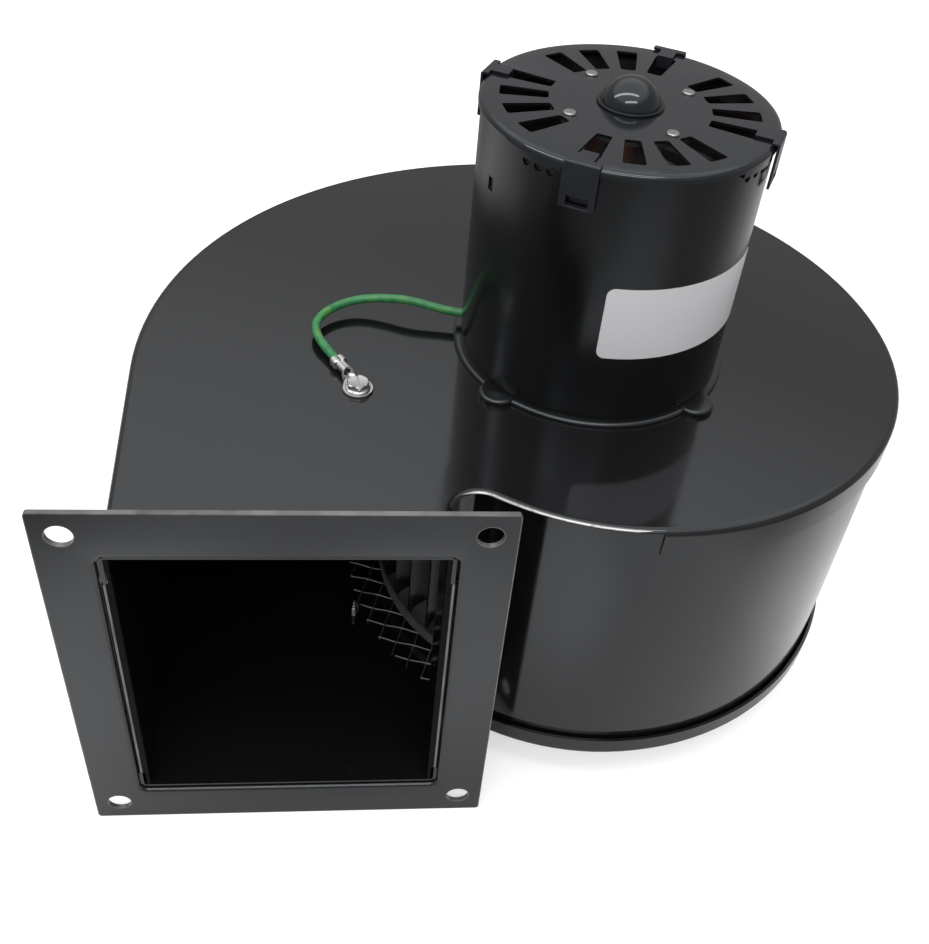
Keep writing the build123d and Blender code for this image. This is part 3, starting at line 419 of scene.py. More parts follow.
def make_world():
    """Soft white studio: dim at the horizon, bright overhead and a little brighter to the left."""
    world = bpy.data.worlds.new("studio")
    bpy.context.scene.world = world
    tree = node_tree(world)
    direction = add(tree, "ShaderNodeTexCoord").outputs["Generated"]
    across, _, height = add(tree, "ShaderNodeSeparateXYZ", {0: direction}).outputs
    level = maths(tree, "SUBTRACT", height, maths(tree, "MULTIPLY", across, SKY_LEAN))
    low, dim = SKY_HORIZON
    middle, pale = SKY_HAZE
    high, added = SKY_OVERHEAD
    haze = rescale(tree, level, low, middle, dim, pale)
    strength = maths(tree, "ADD", haze, rescale(tree, level, middle, high, 0.0, added))
    sockets = {"Color": (1.0, 1.0, 1.0, 1.0), "Strength": strength}
    background = add(tree, "ShaderNodeBackground", sockets)
    add(tree, "ShaderNodeOutputWorld", {"Surface": background.outputs[0]})


def make_floor():
    """Plain white floor that keeps the object's shadow."""
    slope = (FLOOR_REAR_Z - FLOOR_FRONT_Z) / FLOOR_REAR_Y
    bm = bmesh.new()
    corners = []
    for x, y in ((-1, -1), (1, -1), (1, 1), (-1, 1)):
        across = FLOOR_HALF * y
        corners.append(bm.verts.new((FLOOR_HALF * x, across, FLOOR_FRONT_Z + slope * across)))
    bm.faces.new(corners)
    floor = add_object("floor", finished_mesh("floor", bm))
    floor.data.materials.append(floor_material())


def floor_material():
    """White paper: evenly lit to the eye; to reflections it shows painted pools of light over a dim
    base.
    """
    material = bpy.data.materials.new("floor_white")
    tree = node_tree(material)
    place = add(tree, "ShaderNodeTexCoord").outputs["Object"]
    flat = add(tree, "ShaderNodeVectorMath", {0: place, 1: (PER_MM, PER_MM, 0.0)}, operation="MULTIPLY")
    bright = FLOOR_DIM / FLOOR_FULL
    for centre, inner, outer, strength in FLOOR_LIGHT_POOLS:
        sockets = {0: flat.outputs[0], 1: (*centre, 0.0)}
        away = add(tree, "ShaderNodeVectorMath", sockets, operation="DISTANCE").outputs["Value"]
        sockets = {0: away, 1: inner, 2: outer, 3: strength / FLOOR_FULL, 4: 0.0}
        patch = add(tree, "ShaderNodeMapRange", sockets, interpolation_type="SMOOTHSTEP")
        bright = maths(tree, "ADD", patch.outputs[0], bright)
    path = add(tree, "ShaderNodeLightPath").outputs
    seen = maths(tree, "MAXIMUM", path["Is Camera Ray"], path["Is Transmission Ray"])
    share = maths(tree, "MULTIPLY", path["Is Glossy Ray"], bright)
    hidden = maths(tree, "SUBTRACT", 1.0, maths(tree, "MAXIMUM", seen, path["Is Glossy Ray"]))
    direct = maths(tree, "MULTIPLY", seen, FLOOR_SEEN)
    paper = maths(tree, "MULTIPLY", maths(tree, "ADD", share, hidden), FLOOR_DIFFUSE)
    paper = maths(tree, "ADD", paper, direct)
    glow = maths(tree, "ADD", maths(tree, "MULTIPLY", share, FLOOR_GLOW), direct)
    colour = add(tree, "ShaderNodeCombineColor", {0: paper, 1: paper, 2: paper}).outputs[0]
    diffuse = add(tree, "ShaderNodeBsdfDiffuse", {"Color": colour})
    light = add(tree, "ShaderNodeEmission", {"Strength": glow})
    both = add(tree, "ShaderNodeAddShader", {0: diffuse.outputs[0], 1: light.outputs[0]})
    add(tree, "ShaderNodeOutputMaterial", {"Surface": both.outputs[0]})
    return material


def make_tube(name, start, end):
    """Long thin lamp between two directions from the motor's dome, turned to face it."""
    low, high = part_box("bearing_dome")
    aim = (low + high) / 2
    first = aim + Vector(start).normalized() * TUBE_DISTANCE
    last = aim + Vector(end).normalized() * TUBE_DISTANCE
    middle = (first + last) / 2
    along = (last - first).normalized()
    back = middle - aim
    back = (back - along * back.dot(along)).normalized()
    data = bpy.data.lights.new(name, "AREA")
    data.shape = "RECTANGLE"
    data.size = (last - first).length
    data.size_y = TUBE_WIDTH
    data.energy = TUBE_RADIANCE * math.pi * data.size * data.size_y
    turn = Matrix((along, back.cross(along), back)).transposed()
    add_object(name, data).matrix_world = Matrix.Translation(middle) @ turn.to_4x4()


# Finishes

def start_material(name):
    """New material, its node tree and its object coordinates in millimetres."""
    material = bpy.data.materials.new(name)
    tree = node_tree(material)
    place = add(tree, "ShaderNodeTexCoord").outputs["Object"]
    scale = add(tree, "ShaderNodeVectorMath", {0: place, 1: (PER_MM,) * 3}, operation="MULTIPLY")
    return material, tree, scale.outputs[0]


def end_material(tree, colour, roughness, height, bump, distance, **others):
    """Closes a material with a shader and the bump of a height."""
    sockets = {"Strength": bump, "Distance": distance * MM, "Height": height}
    relief = add(tree, "ShaderNodeBump", sockets).outputs[0]
    sockets = {"Base Color": colour, "Roughness": roughness, "Normal": relief, **others}
    shader = add(tree, "ShaderNodeBsdfPrincipled", sockets)
    add(tree, "ShaderNodeOutputMaterial", {"Surface": shader.outputs[0]})


def dust(tree, place, amount):
    """Mask of sparse fine dust specks."""
    cells = add(tree, "ShaderNodeTexVoronoi", {"Vector": place, "Scale": 0.22}, feature="F1")
    speck = rescale(tree, cells.outputs["Distance"], 0.018, 0.030, amount, 0.0)
    dusty = rescale(tree, noise(tree, place, scale=0.03), 0.5, 0.62, 0.0, 1.0)
    return maths(tree, "MULTIPLY", speck, dusty)


def enamel(name, colour, gloss, peel=0.05, bare_and_lit=None, dull=None):
    """Sprayed enamel: faint orange peel, uneven gloss, a little dust, and bare and dull places; the
    bare tone also paints light onto places in shade.
    """
    material, tree, place = start_material(name)
    cloud = noise(tree, place, scale=0.018, detail=3.0)
    tone = mixed(tree, cloud, tuple(c * 0.8 for c in colour), tuple(c * 1.25 for c in colour))
    tone = mixed(tree, dust(tree, place, DUST_AMOUNT), tone, DUST_TONE)
    uneven = noise(tree, place, scale=0.05, detail=4.0)
    rough = spread(tree, uneven, gloss * 0.85, gloss * 1.2)
    metallic = 0.0
    if bare_and_lit is not None:
        metallic = bare_and_lit(tree, place)
        tone = mixed(tree, metallic, tone, BARE_AND_LIT_TONE)
        rough = maths(tree, "ADD", rough, maths(tree, "MULTIPLY", metallic, BARE_AND_LIT_ROUGHNESS))
    shine = PAINT_SHINE
    if dull is not None:
        mask = dull(tree, place)
        rough = maths(tree, "ADD", rough, maths(tree, "MULTIPLY", mask, DULL_ROUGHNESS))
        shine = rescale(tree, mask, 0.0, 1.0, PAINT_SHINE, DULL_SHINE)
    grain = noise(tree, place, scale=0.35, detail=2.0, roughness=0.4)
    # Specular tint: the cool light's blue painted onto the paint's reflections
    sockets = {"Metallic": metallic, "Specular IOR Level": shine, "Specular Tint": PAINT_COOL_LIGHT_TINT}
    end_material(tree, tone, rough, grain, bump=peel, distance=0.02, **sockets)
    return material


def wall_hem(tree, place):
    """Mask of the wall's ends inside the outlet."""
    y = add(tree, "ShaderNodeSeparateXYZ", {0: place}).outputs[1]
    return maths(tree, "LESS_THAN", y, HEM_REACH)


def hem_line(tree, place):
    """Mask of the worn line along each of the wall's ends."""
    x = add(tree, "ShaderNodeSeparateXYZ", {0: place}).outputs[0]
    aside = maths(tree, "ABSOLUTE", x)
    start, end = HEM_LINE
    past_start = maths(tree, "GREATER_THAN", aside, start)
    before_end = maths(tree, "LESS_THAN", aside, end)
    grain = noise(tree, place, scale=0.08, detail=3.0)
    worn = rescale(tree, grain, 0.35, 0.60, *HEM_WORN)
    return product(tree, past_start, before_end, worn, wall_hem(tree, place))


def dome_foot(tree, place):
    """Mask of the dome's rolled foot."""
    z = add(tree, "ShaderNodeSeparateXYZ", {0: place}).outputs[2]
    low, high = (CAP_TOP / MM + height for height in DOME_FOOT)
    return rescale(tree, z, low, high, DOME_FOOT_DULL, 0.0)


def cover_cut_edge_and_lit_rim_end(tree, place):
    """Mask of the top cover's bare sheared edge beside the outlet, and of its rim's end there, which is
    lightened as painted light against its shade.
    """
    x, y, z = add(tree, "ShaderNodeSeparateXYZ", {0: place}).outputs
    normal = add(tree, "ShaderNodeNewGeometry").outputs["Normal"]
    facing, _, up = add(tree, "ShaderNodeSeparateXYZ", {0: normal}).outputs
    start, end = CUT_EDGE_X
    front = maths(tree, "LESS_THAN", y, CUT_EDGE_Y)
    steep = maths(tree, "LESS_THAN", maths(tree, "ABSOLUTE", up), CUT_EDGE_STEEP)
    depth = rescale(tree, x, start, start + CUT_EDGE_START, 0.0, CUT_EDGE_DEPTH)
    depth = product(tree, depth, rescale(tree, x, end - CUT_EDGE_END, end, 1.0, 0.0))
    shallow = maths(tree, "GREATER_THAN", z, maths(tree, "SUBTRACT", HOUSING_TOP / MM, depth))
    grain = noise(tree, place, scale=0.5, detail=3.0)
    worn = rescale(tree, grain, 0.30, 0.50, *CUT_EDGE_WORN)
    edge = product(tree, front, steep, shallow, worn)
    # Rim's end face: lightened with the bare tone as painted light, so it does not read dark in its
    # shade
    away = maths(tree, "ABSOLUTE", maths(tree, "SUBTRACT", x, end))
    beside = maths(tree, "LESS_THAN", away, RIM_END_REACH)
    outward = maths(tree, "LESS_THAN", facing, RIM_END_FACING)
    lit_rim_end = product(tree, front, beside, outward, RIM_END_LIGHTENING)
    return maths(tree, "MAXIMUM", edge, lit_rim_end)


def flange_edges(tree, place):
    """Mask of the flange's outline and bolt holes, where the paint lies thin and bare metal is painted
    on, partly as a painted highlight along the edges.
    """
    low, high = (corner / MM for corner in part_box("outlet_flange"))
    x, _, z = add(tree, "ShaderNodeSeparateXYZ", {0: place}).outputs
    mask = 0.0
    for value, a, b in ((x, low.x, high.x), (z, low.z, high.z)):
        away = maths(tree, "ABSOLUTE", maths(tree, "SUBTRACT", value, (a + b) / 2))
        mask = maths(tree, "MAXIMUM", maths(tree, "GREATER_THAN", away, (b - a) / 2 - EDGE_REACH), mask)
    flat = add(tree, "ShaderNodeVectorMath", {0: place, 1: (1.0, 0.0, 1.0)}, operation="MULTIPLY")
    for side, end in ((-1, -1), (-1, 1), (1, -1), (1, 1)):
        sockets = {0: flat.outputs[0], 1: (side * FLANGE_HOLE_X, 0.0, end * FLANGE_HOLE_Z)}
        away = add(tree, "ShaderNodeVectorMath", sockets, operation="DISTANCE").outputs["Value"]
        rim = maths(tree, "LESS_THAN", away, FLANGE_HOLE_RADIUS + HOLE_REACH)
        mask = maths(tree, "MAXIMUM", rim, mask)
    grain = noise(tree, place, scale=0.08, detail=3.0)
    worn = rescale(tree, grain, 0.35, 0.60, *FLANGE_WORN_AND_LIT)
    return maths(tree, "MULTIPLY", mask, worn)


def metal(name, colour, gloss, streak, metallic=1.0):
    """Bare or plated metal with fine grain and cloudy tone."""
    material, tree, place = start_material(name)
    cloud = noise(tree, place, scale=0.25, detail=4.0, roughness=0.6)
    dark = tuple(c * (1 - 2 * streak) for c in colour)
    tone = mixed(tree, cloud, dark, tuple(min(1.0, c * (1 + streak)) for c in colour))
    fine = noise(tree, place, scale=3.6, detail=3.0, roughness=0.6)
    rough = spread(tree, fine, gloss * 0.75, gloss * 1.3)
    end_material(tree, tone, rough, fine, bump=0.15, distance=0.02, Metallic=metallic)
    return material


def laminations(name, colour):
    """Edges of stacked sheets with rust between them."""
    material, tree, place = start_material(name)
    level = add(tree, "ShaderNodeSeparateXYZ", {0: place}).outputs[2]
    sheet = maths(tree, "PINGPONG", level, LAMINATION / 2)
    line = rescale(tree, sheet, 0.0, LAMINATION_GROOVE, 0.0, 1.0)
    tone = mixed(tree, line, tuple(c * 0.25 for c in colour), colour)
    cloud = noise(tree, place, scale=0.3, detail=4.0)
    rusty = rescale(tree, cloud, 0.5, 0.75, 0.0, 0.5)
    tone = mixed(tree, rusty, tone, RUST_TONE)
    end_material(tree, tone, 0.45, line, bump=0.4, distance=0.06, Metallic=0.8)
    return material


def winding(name, colour):
    """Enamelled copper wire with patches of a darker varnish."""
    material, tree, place = start_material(name)
    grain = noise(tree, place, scale=0.4, detail=3.0)
    cloud = rescale(tree, grain, 0.35, 0.7, 0.0, 1.0)
    tone = mixed(tree, cloud, colour, tuple(c * 0.45 for c in colour))
    rough = rescale(tree, cloud, 0.0, 1.0, 0.22, 0.42)
    end_material(tree, tone, rough, cloud, bump=0.1, distance=0.02, Metallic=0.75)
    return material


def insulation(name, colour):
    """Green lead insulation: soft sheen, faint ripples, and worn patches of a yellower green."""
    material, tree, place = start_material(name)
    grain = noise(tree, place, scale=0.45, detail=3.0)
    cloud = rescale(tree, grain, 0.35, 0.7, 0.0, 1.0)
    tone = mixed(tree, cloud, colour, (colour[0] * 0.55, colour[1] * 0.60, colour[2] * 0.55))
    blotch = noise(tree, place, scale=0.16, detail=3.0)
    patch = rescale(tree, blotch, 0.52, 0.66, 0.0, 0.7)
    tone = mixed(tree, patch, tone, WORN_GREEN)
    fine = noise(tree, place, scale=1.8, detail=3.0)
    rough = spread(tree, fine, 0.40, 0.55)
    end_material(tree, tone, rough, fine, bump=0.35, distance=0.08)
    return material


def film(name, colour):
    """Blank label film: silvery white, with a fine speckle."""
    material, tree, place = start_material(name)
    fine = noise(tree, place, scale=3.0, detail=3.0)
    tone = mixed(tree, fine, tuple(c * 0.95 for c in colour), colour)
    rough = spread(tree, fine, 0.30, 0.42)
    ripple = noise(tree, place, scale=0.12)
    end_material(tree, tone, rough, ripple, bump=0.15, distance=0.2)
    return material


def moulded(name, colour, gloss):
    """Moulded plastic or fibre with a fine matt grain."""
    material, tree, place = start_material(name)
    fine = noise(tree, place, scale=4.0, detail=3.0)
    tone = mixed(tree, fine, tuple(c * 0.8 for c in colour), tuple(c * 1.2 for c in colour))
    rough = spread(tree, fine, gloss * 0.9, gloss * 1.1)
    end_material(tree, tone, rough, fine, bump=0.3, distance=0.05)
    return material


FINISHES = {
    "housing_paint": enamel("housing_paint", BLACK_PAINT, PAINT_GLOSS),
    "cover_paint": enamel("cover_paint", BLACK_PAINT, PAINT_GLOSS, bare_and_lit=cover_cut_edge_and_lit_rim_end),
    "wall_paint": enamel("wall_paint", BLACK_PAINT, PAINT_GLOSS, bare_and_lit=hem_line, dull=wall_hem),
    "flange_paint": enamel("flange_paint", BLACK_PAINT, PAINT_GLOSS, bare_and_lit=flange_edges),
    "motor_paint": enamel("motor_paint", (0.0030, 0.0032, 0.0034), gloss=0.21, peel=0.12),
    "cap_paint": enamel("cap_paint", (0.0068, 0.0073, 0.0086), gloss=0.07),
    "dome_paint": enamel("dome_paint", (0.0035, 0.0038, 0.0045), gloss=0.07, dull=dome_foot),
    "spring_steel": metal("spring_steel", (0.024, 0.026, 0.032), gloss=0.34, streak=0.15, metallic=0.6),
    "rivet_steel": metal("rivet_steel", (0.30, 0.30, 0.295), gloss=0.36, streak=0.10),
    "zinc_hardware": metal("zinc_hardware", (0.48, 0.48, 0.475), gloss=0.30, streak=0.08),
    "galvanised_wire": metal("galvanised_wire", (0.40, 0.41, 0.43), gloss=0.40, streak=0.2),
    "bare_steel": metal("bare_steel", (0.46, 0.46, 0.47), gloss=0.34, streak=0.12),
    "ground_steel": metal("ground_steel", (0.60, 0.60, 0.61), gloss=0.18, streak=0.05),
    "lamination_steel": laminations("lamination_steel", (0.22, 0.22, 0.24)),
    "bronze": metal("bronze", (0.55, 0.36, 0.16), gloss=0.36, streak=0.12),
    "copper": metal("copper", (0.72, 0.36, 0.20), gloss=0.30, streak=0.12),
    "copper_winding": winding("copper_winding", (0.42, 0.14, 0.06)),
    "rotor_aluminium": metal("rotor_aluminium", (0.70, 0.71, 0.72), gloss=0.42, streak=0.08),
    "wheel_steel": metal("wheel_steel", (0.34, 0.35, 0.36), gloss=0.42, streak=0.15),
    # Wheel blades: the wheel's steel darkened to near black as painted shade inside the housing
    "shaded_blade_steel": metal("shaded_blade_steel", (0.045, 0.047, 0.050), gloss=0.34, streak=0.15),
    "ring_steel": metal("ring_steel", (0.62, 0.63, 0.64), gloss=0.50, streak=0.10),
    # Bottom screw: darker than the zinc of the screw above, as painted shade inside the housing
    "shaded_tip_steel": metal("shaded_tip_steel", (0.30, 0.30, 0.30), gloss=0.16, streak=0.05),
    "tinned_brass": metal("tinned_brass", (0.52, 0.515, 0.50), gloss=0.30, streak=0.10),
    "label_film": film("label_film", (0.50, 0.50, 0.515)),
    "black_nylon": moulded("black_nylon", (0.02, 0.02, 0.02), gloss=0.45),
    "green_insulation": insulation("green_insulation", (0.022, 0.185, 0.058)),
    "fibre": moulded("fibre", (0.30, 0.20, 0.12), gloss=0.6),
}
SLOTS = {part["node"]: part["material_slot"] for part in frame["record"]["subparts"]}
OWN_FINISH = {
    "bearing_dome": "dome_paint",
    "top_cover": "cover_paint",
    "outlet_flange": "flange_paint",
    "cap_rivets": "rivet_steel",
    "scroll_wrap": "wall_paint",
    "wheel_blades": "shaded_blade_steel",
    "wheel_end_ring": "ring_steel",
    "bottom_ground_screw": "shaded_tip_steel",
}


def finish_of(node):
    """Finish of a CAD node: its own, or its slot's."""
    return FINISHES[OWN_FINISH.get(node, SLOTS[node])]


def finish_nodes():
    """Every CAD node takes its own finish or its slot's."""
    for name, node in frame["nodes"].items():
        for place in node.material_slots:
            place.material = finish_of(name)


# Pieces

def new_piece(name, bm, body, slot, finish=None):
    """Smooth object from a mesh, with its body and finish: the given one, or its slot's."""
    bmesh.ops.recalc_face_normals(bm, faces=bm.faces)
    mesh = finished_mesh(name, bm)
    mesh.shade_smooth()
    mesh.set_sharp_from_angle(angle=SHARP_ANGLE)
    mesh.materials.append(finish or FINISHES[slot])
    piece = add_object(name, mesh)
    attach(piece, body)
    return piece


def piece_from(name, bm, node):
    """Object that stands for a CAD node, with that node's body and finish."""
    piece = new_piece(name, bm, frame["nodes"][node]["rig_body"], SLOTS[node], finish_of(node))
    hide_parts(node)
    return piece


def round_edges(piece, width, angle, harden=False):
    """Rounds a piece's edges that are sharper than an angle."""
    bevel = piece.modifiers.new("rounded_edges", "BEVEL")
    bevel.width = width
    bevel.segments = 2
    bevel.limit_method = "ANGLE"
    bevel.angle_limit = angle
    bevel.harden_normals = harden


def rounded_copy(name, node, width):
    """A CAD node with its sharp edges rounded."""
    bm = bmesh.new()
    bm.from_mesh(frame["nodes"][node].data)
    bmesh.ops.remove_doubles(bm, verts=bm.verts, dist=WELD)
    bmesh.ops.dissolve_limit(bm, angle_limit=FLAT_ANGLE, verts=bm.verts, edges=bm.edges)
    round_edges(piece_from(name, bm, node), width, ROUND_ANGLE, harden=True)


def sweep(bm, stations, closed):
    """Skin over a list of rings of points, each ring with the same number of points."""
    rings = [[bm.verts.new(point) for point in ring] for ring in stations]
    count = len(rings[0])
    pairs = list(zip(rings, rings[1:]))
    if closed:
        pairs.append((rings[-1], rings[0]))
    for low, high in pairs:
        for i in range(count):
            j = (i + 1) % count
            bm.faces.new((low[i], low[j], high[j], high[i]))
    if not closed:
        bm.faces.new(rings[0][::-1])
        bm.faces.new(rings[-1])


def lathe(bm, profile, sides, place):
    """Skin of a profile of radii and heights turned about an upright axis."""
    rings = []
    for i in range(sides):
        angle = 2 * math.pi * i / sides
        aside = Vector((math.cos(angle), math.sin(angle), 0))
        rings.append([place @ (aside * radius + Vector((0, 0, z))) for radius, z in profile])
    sweep(bm, rings, closed=True)


def circle_ring(centre, u, v, radius, sides):
    """Ring of points about a centre in the plane of two directions."""
    turns = [2 * math.pi * i / sides for i in range(sides)]
    return [centre + (u * math.cos(t) + v * math.sin(t)) * radius for t in turns]


def wire(bm, points, aside, radius, sides=6, closed=False):
    """Round wire along points that all lie in the plane square to a direction."""
    stations = []
    count = len(points)
    for i, point in enumerate(points):
        before = points[i - 1] if closed or i else point
        after = points[(i + 1) % count] if closed or i < count - 1 else point
        along = (after - before).normalized()
        stations.append(circle_ring(point, aside, aside.cross(along), radius, sides))
    sweep(bm, stations, closed)


def make_lead():
    """The green ground lead as one smooth line."""
    curve = bpy.data.curves.new("ground_lead_curve", "CURVE")
    curve.dimensions = "3D"
    line = curve.splines.new("NURBS")
    line.points.add(len(LEAD_ROUTE) - 1)
    for point, place in zip(line.points, LEAD_ROUTE):
        point.co = (*place, 1.0)
    line.order_u = 3
    line.use_endpoint_u = True
    line.resolution_u = 12
    curve.bevel_depth = LEAD_DIAMETER / 2
    curve.bevel_resolution = 6
    curve.use_fill_caps = True
    curve.materials.append(FINISHES["green_insulation"])
    lead = add_object("ground_lead_cord", curve)
    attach(lead, "housing")
    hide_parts("ground_lead")
    return lead


def make_mesh_guard():
    """Wire cloth: crimped round wires that pass over and under each other."""
    bm = bmesh.new()
    level = HOUSING_FLOOR + MESH_WIRE
    reach = int(MESH_RADIUS / MESH_PITCH)
    steps = 8
    for side, turn in enumerate((MESH_ANGLE, MESH_ANGLE + 90)):
        angle = math.radians(turn)
        along = Vector((math.cos(angle), math.sin(angle), 0))
        aside = Vector((-math.sin(angle), math.cos(angle), 0))
        for i in range(-reach, reach + 1):
            offset = i * MESH_PITCH
            half = math.sqrt(MESH_RADIUS**2 - offset**2)
            count = max(2, round(2 * half / MESH_PITCH * steps))
            phase = 1 if (i + side) % 2 else -1
            points = []
            for k in range(count + 1):
                run = -half + 2 * half * k / count
                rise = phase * math.cos(math.pi * run / MESH_PITCH) * MESH_CRIMP
                place = along * run + aside * offset
                points.append(Vector((SHAFT.x + place.x, SHAFT.y + place.y, level + rise)))
            wire(bm, points, aside, MESH_WIRE / 2)
    piece_from("inlet_wire_cloth", bm, "inlet_mesh_guard")


def fold_points(mesh):
    """Points of the top cover at its fold's lower edge, and the links between them by number."""
    level = HOUSING_TOP - FOLD_RADIUS
    places = {v.index: v.co.copy() for v in mesh.vertices if abs(v.co.z - level) < NEAR}
    spots = {}
    for index, place in places.items():
        spots.setdefault((round(place.x / NEAR), round(place.y / NEAR)), []).append(index)
    first = {index: group[0] for group in spots.values() for index in group}
    links = {}
    for edge in mesh.edges:
        a, b = (first.get(index) for index in edge.vertices)
        if a is not None and b is not None and a != b:
            links.setdefault(a, set()).add(b)
            links.setdefault(b, set()).add(a)
    return places, links


def fold_path():
    """Points along the lower edge of the top cover's fold, in order round the scroll."""
    places, links = fold_points(frame["nodes"]["top_cover"].data)
    ends = [index for index in links if len(links[index]) == 1]
    step = min(ends, key=lambda index: places[index].x)
    path = []
    seen = set()
    while step is not None:
        path.append(places[step])
        seen.add(step)
        step = next((index for index in links[step] if index not in seen), None)
    return path


def fold_section(middle, out):
    """Section of the fold's skin: out over the fold, and back inside it."""
    outside = (FOLD_RADIUS + FOLD_SKIN, range(FOLD_STEPS + 1))
    inside = (FOLD_RADIUS - FOLD_INSIDE, range(FOLD_STEPS, -1, -FOLD_INSIDE_STEP))
    section = []
    for radius, steps in (outside, inside):
        for step in steps:
            angle = math.radians(90 * step / FOLD_STEPS)
            rise = Vector((0, 0, radius * math.sin(angle)))
            section.append(middle + out * radius * math.cos(angle) + rise)
    return section


def make_cover_fold():
    """Smooth skin over the top cover's fold."""
    bm = bmesh.new()
    path = fold_path()
    rings = []
    for i, point in enumerate(path):
        along = path[min(i + 1, len(path) - 1)] - path[max(i - 1, 0)]
        out = Vector((-along.y, along.x, 0)).normalized()
        rings.append(fold_section(point - out * FOLD_RADIUS, out))
    sweep(bm, rings, closed=False)
    new_piece("cover_fold_skin", bm, "housing", "housing_paint", FINISHES["cover_paint"])


def make_shade_sleeve():
    """Black sleeve put inside the can behind its small vents, above the stator, as painted shade that
    keeps the vents dark.
    """
    bm = bmesh.new()
    outer = CAN_RADIUS - CAN_SHEET - SLEEVE_GAP
    inner = outer - SLEEVE_SHEET
    low = CAP_TOP - SLEEVE_BOTTOM
    high = CAP_TOP - SLEEVE_TOP
    profile = [(inner, low), (outer, low), (outer, high), (inner, high)]
    lathe(bm, profile, sides=96, place=Matrix.Translation((SHAFT.x, SHAFT.y, 0)))
    new_piece("can_shade_sleeve", bm, "housing", "black_nylon")


def loop_points(half_width, half_height, corner, depth):
    """Rounded rectangle in Y and Z at a distance along X."""
    points = []
    turns = 6
    for sign_y, sign_z, start in ((1, 1, 0), (-1, 1, 90), (-1, -1, 180), (1, -1, 270)):
        for k in range(turns + 1):
            angle = math.radians(start + 90 * k / turns)
            y = sign_y * (half_width - corner) + corner * math.cos(angle)
            z = sign_z * (half_height - corner) + corner * math.sin(angle)
            points.append(Vector((depth, y, z)))
    return points


def coil_loop(away, corner, depth):
    """One turn of a coil at a distance from the coil's hole."""
    return loop_points(COIL_HOLE_WIDTH / 2 + away, COIL_HOLE_HEIGHT / 2 + away, corner, depth)


def coil_wires(bm, place, face):
    """Turns of wire that can be seen: the outer and inner layers, and the outer turn between."""
    radial = place.to_3x3() @ Vector((1, 0, 0))
    radius = COIL_WIRE / 2
    layers = int(COIL_DEPTH / COIL_WIRE)
    turns = int(COIL_WALL / COIL_WIRE)
    for layer in range(layers):
        depth = face - radius - layer * COIL_DEPTH / layers
        between = 0 < layer < layers - 1
        for turn in range(turns - 1 if between else 0, turns):
            away = radius + turn * (COIL_WALL - COIL_WIRE) / (turns - 1)
            loop = coil_loop(away, away + COIL_CORNER, depth)
            wire(bm, [place @ p for p in loop], radial, radius, sides=5, closed=True)


def coil_core(bm, place, face):
    """Solid core inside a coil's wires."""
    near = COIL_WIRE
    far = COIL_WALL - COIL_WIRE
    front = face - COIL_WIRE
    back = face - COIL_DEPTH + COIL_WIRE
    corners = ((near, front), (near, back), (far, back), (far, front))
    loops = [coil_loop(away, away, depth) for away, depth in corners]
    sweep(bm, [[place @ p for p in ring] for ring in zip(*loops)], closed=True)


def make_coils():
    """Four coils wound of enamelled wire, each over a solid core of the same winding."""
    bm = bmesh.new()
    low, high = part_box("stator_coils")
    middle = Matrix.Translation((SHAFT.x, SHAFT.y, (low.z + high.z) / 2))
    face = coil_outer_face((high.x - low.x) / 2, COIL_HOLE_WIDTH / 2 + COIL_WALL)
    for pole in range(POLE_COUNT):
        turn = math.radians(POLE_ANGLE + 360 * pole / POLE_COUNT)
        place = middle @ Matrix.Rotation(turn, 4, "Z")
        coil_wires(bm, place, face)
        coil_core(bm, place, face)
    piece_from("stator_windings", bm, "stator_coils")


def coil_outer_face(reach, half_width):
    """Distance of a coil's outer face from the shaft, from the coils' box and the pole's turn."""
    turn = math.radians(POLE_ANGLE % 90)
    if turn > math.pi / 4:
        turn = math.pi / 2 - turn
    return (reach - half_width * math.sin(turn)) / math.cos(turn)


def hex_radius(angle, flats):
    """Distance from a hexagon's middle to its side at an angle from a corner."""
    sixth = math.pi / 3
    return flats / 2 / math.cos(angle % sixth - sixth / 2)


def screw_ring(z, radii):
    """Ring of points at a height, evenly spaced, each at its own radius."""
    ring = []
    for i, radius in enumerate(radii):
        angle = 2 * math.pi * i / len(radii)
        ring.append(Vector((radius * math.cos(angle), radius * math.sin(angle), z)))
    return ring


def thread_radius(z, angle):
    """Radius of the screw's rolled thread and tapering point."""
    taper = min(1.0, SCREW_TIP + (z + SCREW_LENGTH) / SCREW_POINT)
    phase = (z / SCREW_PITCH - angle / (2 * math.pi)) % 1
    ridge = 1 - abs(2 * phase - 1)
    return (SCREW_SHANK - THREAD_DEPTH * (1 - ridge)) * taper


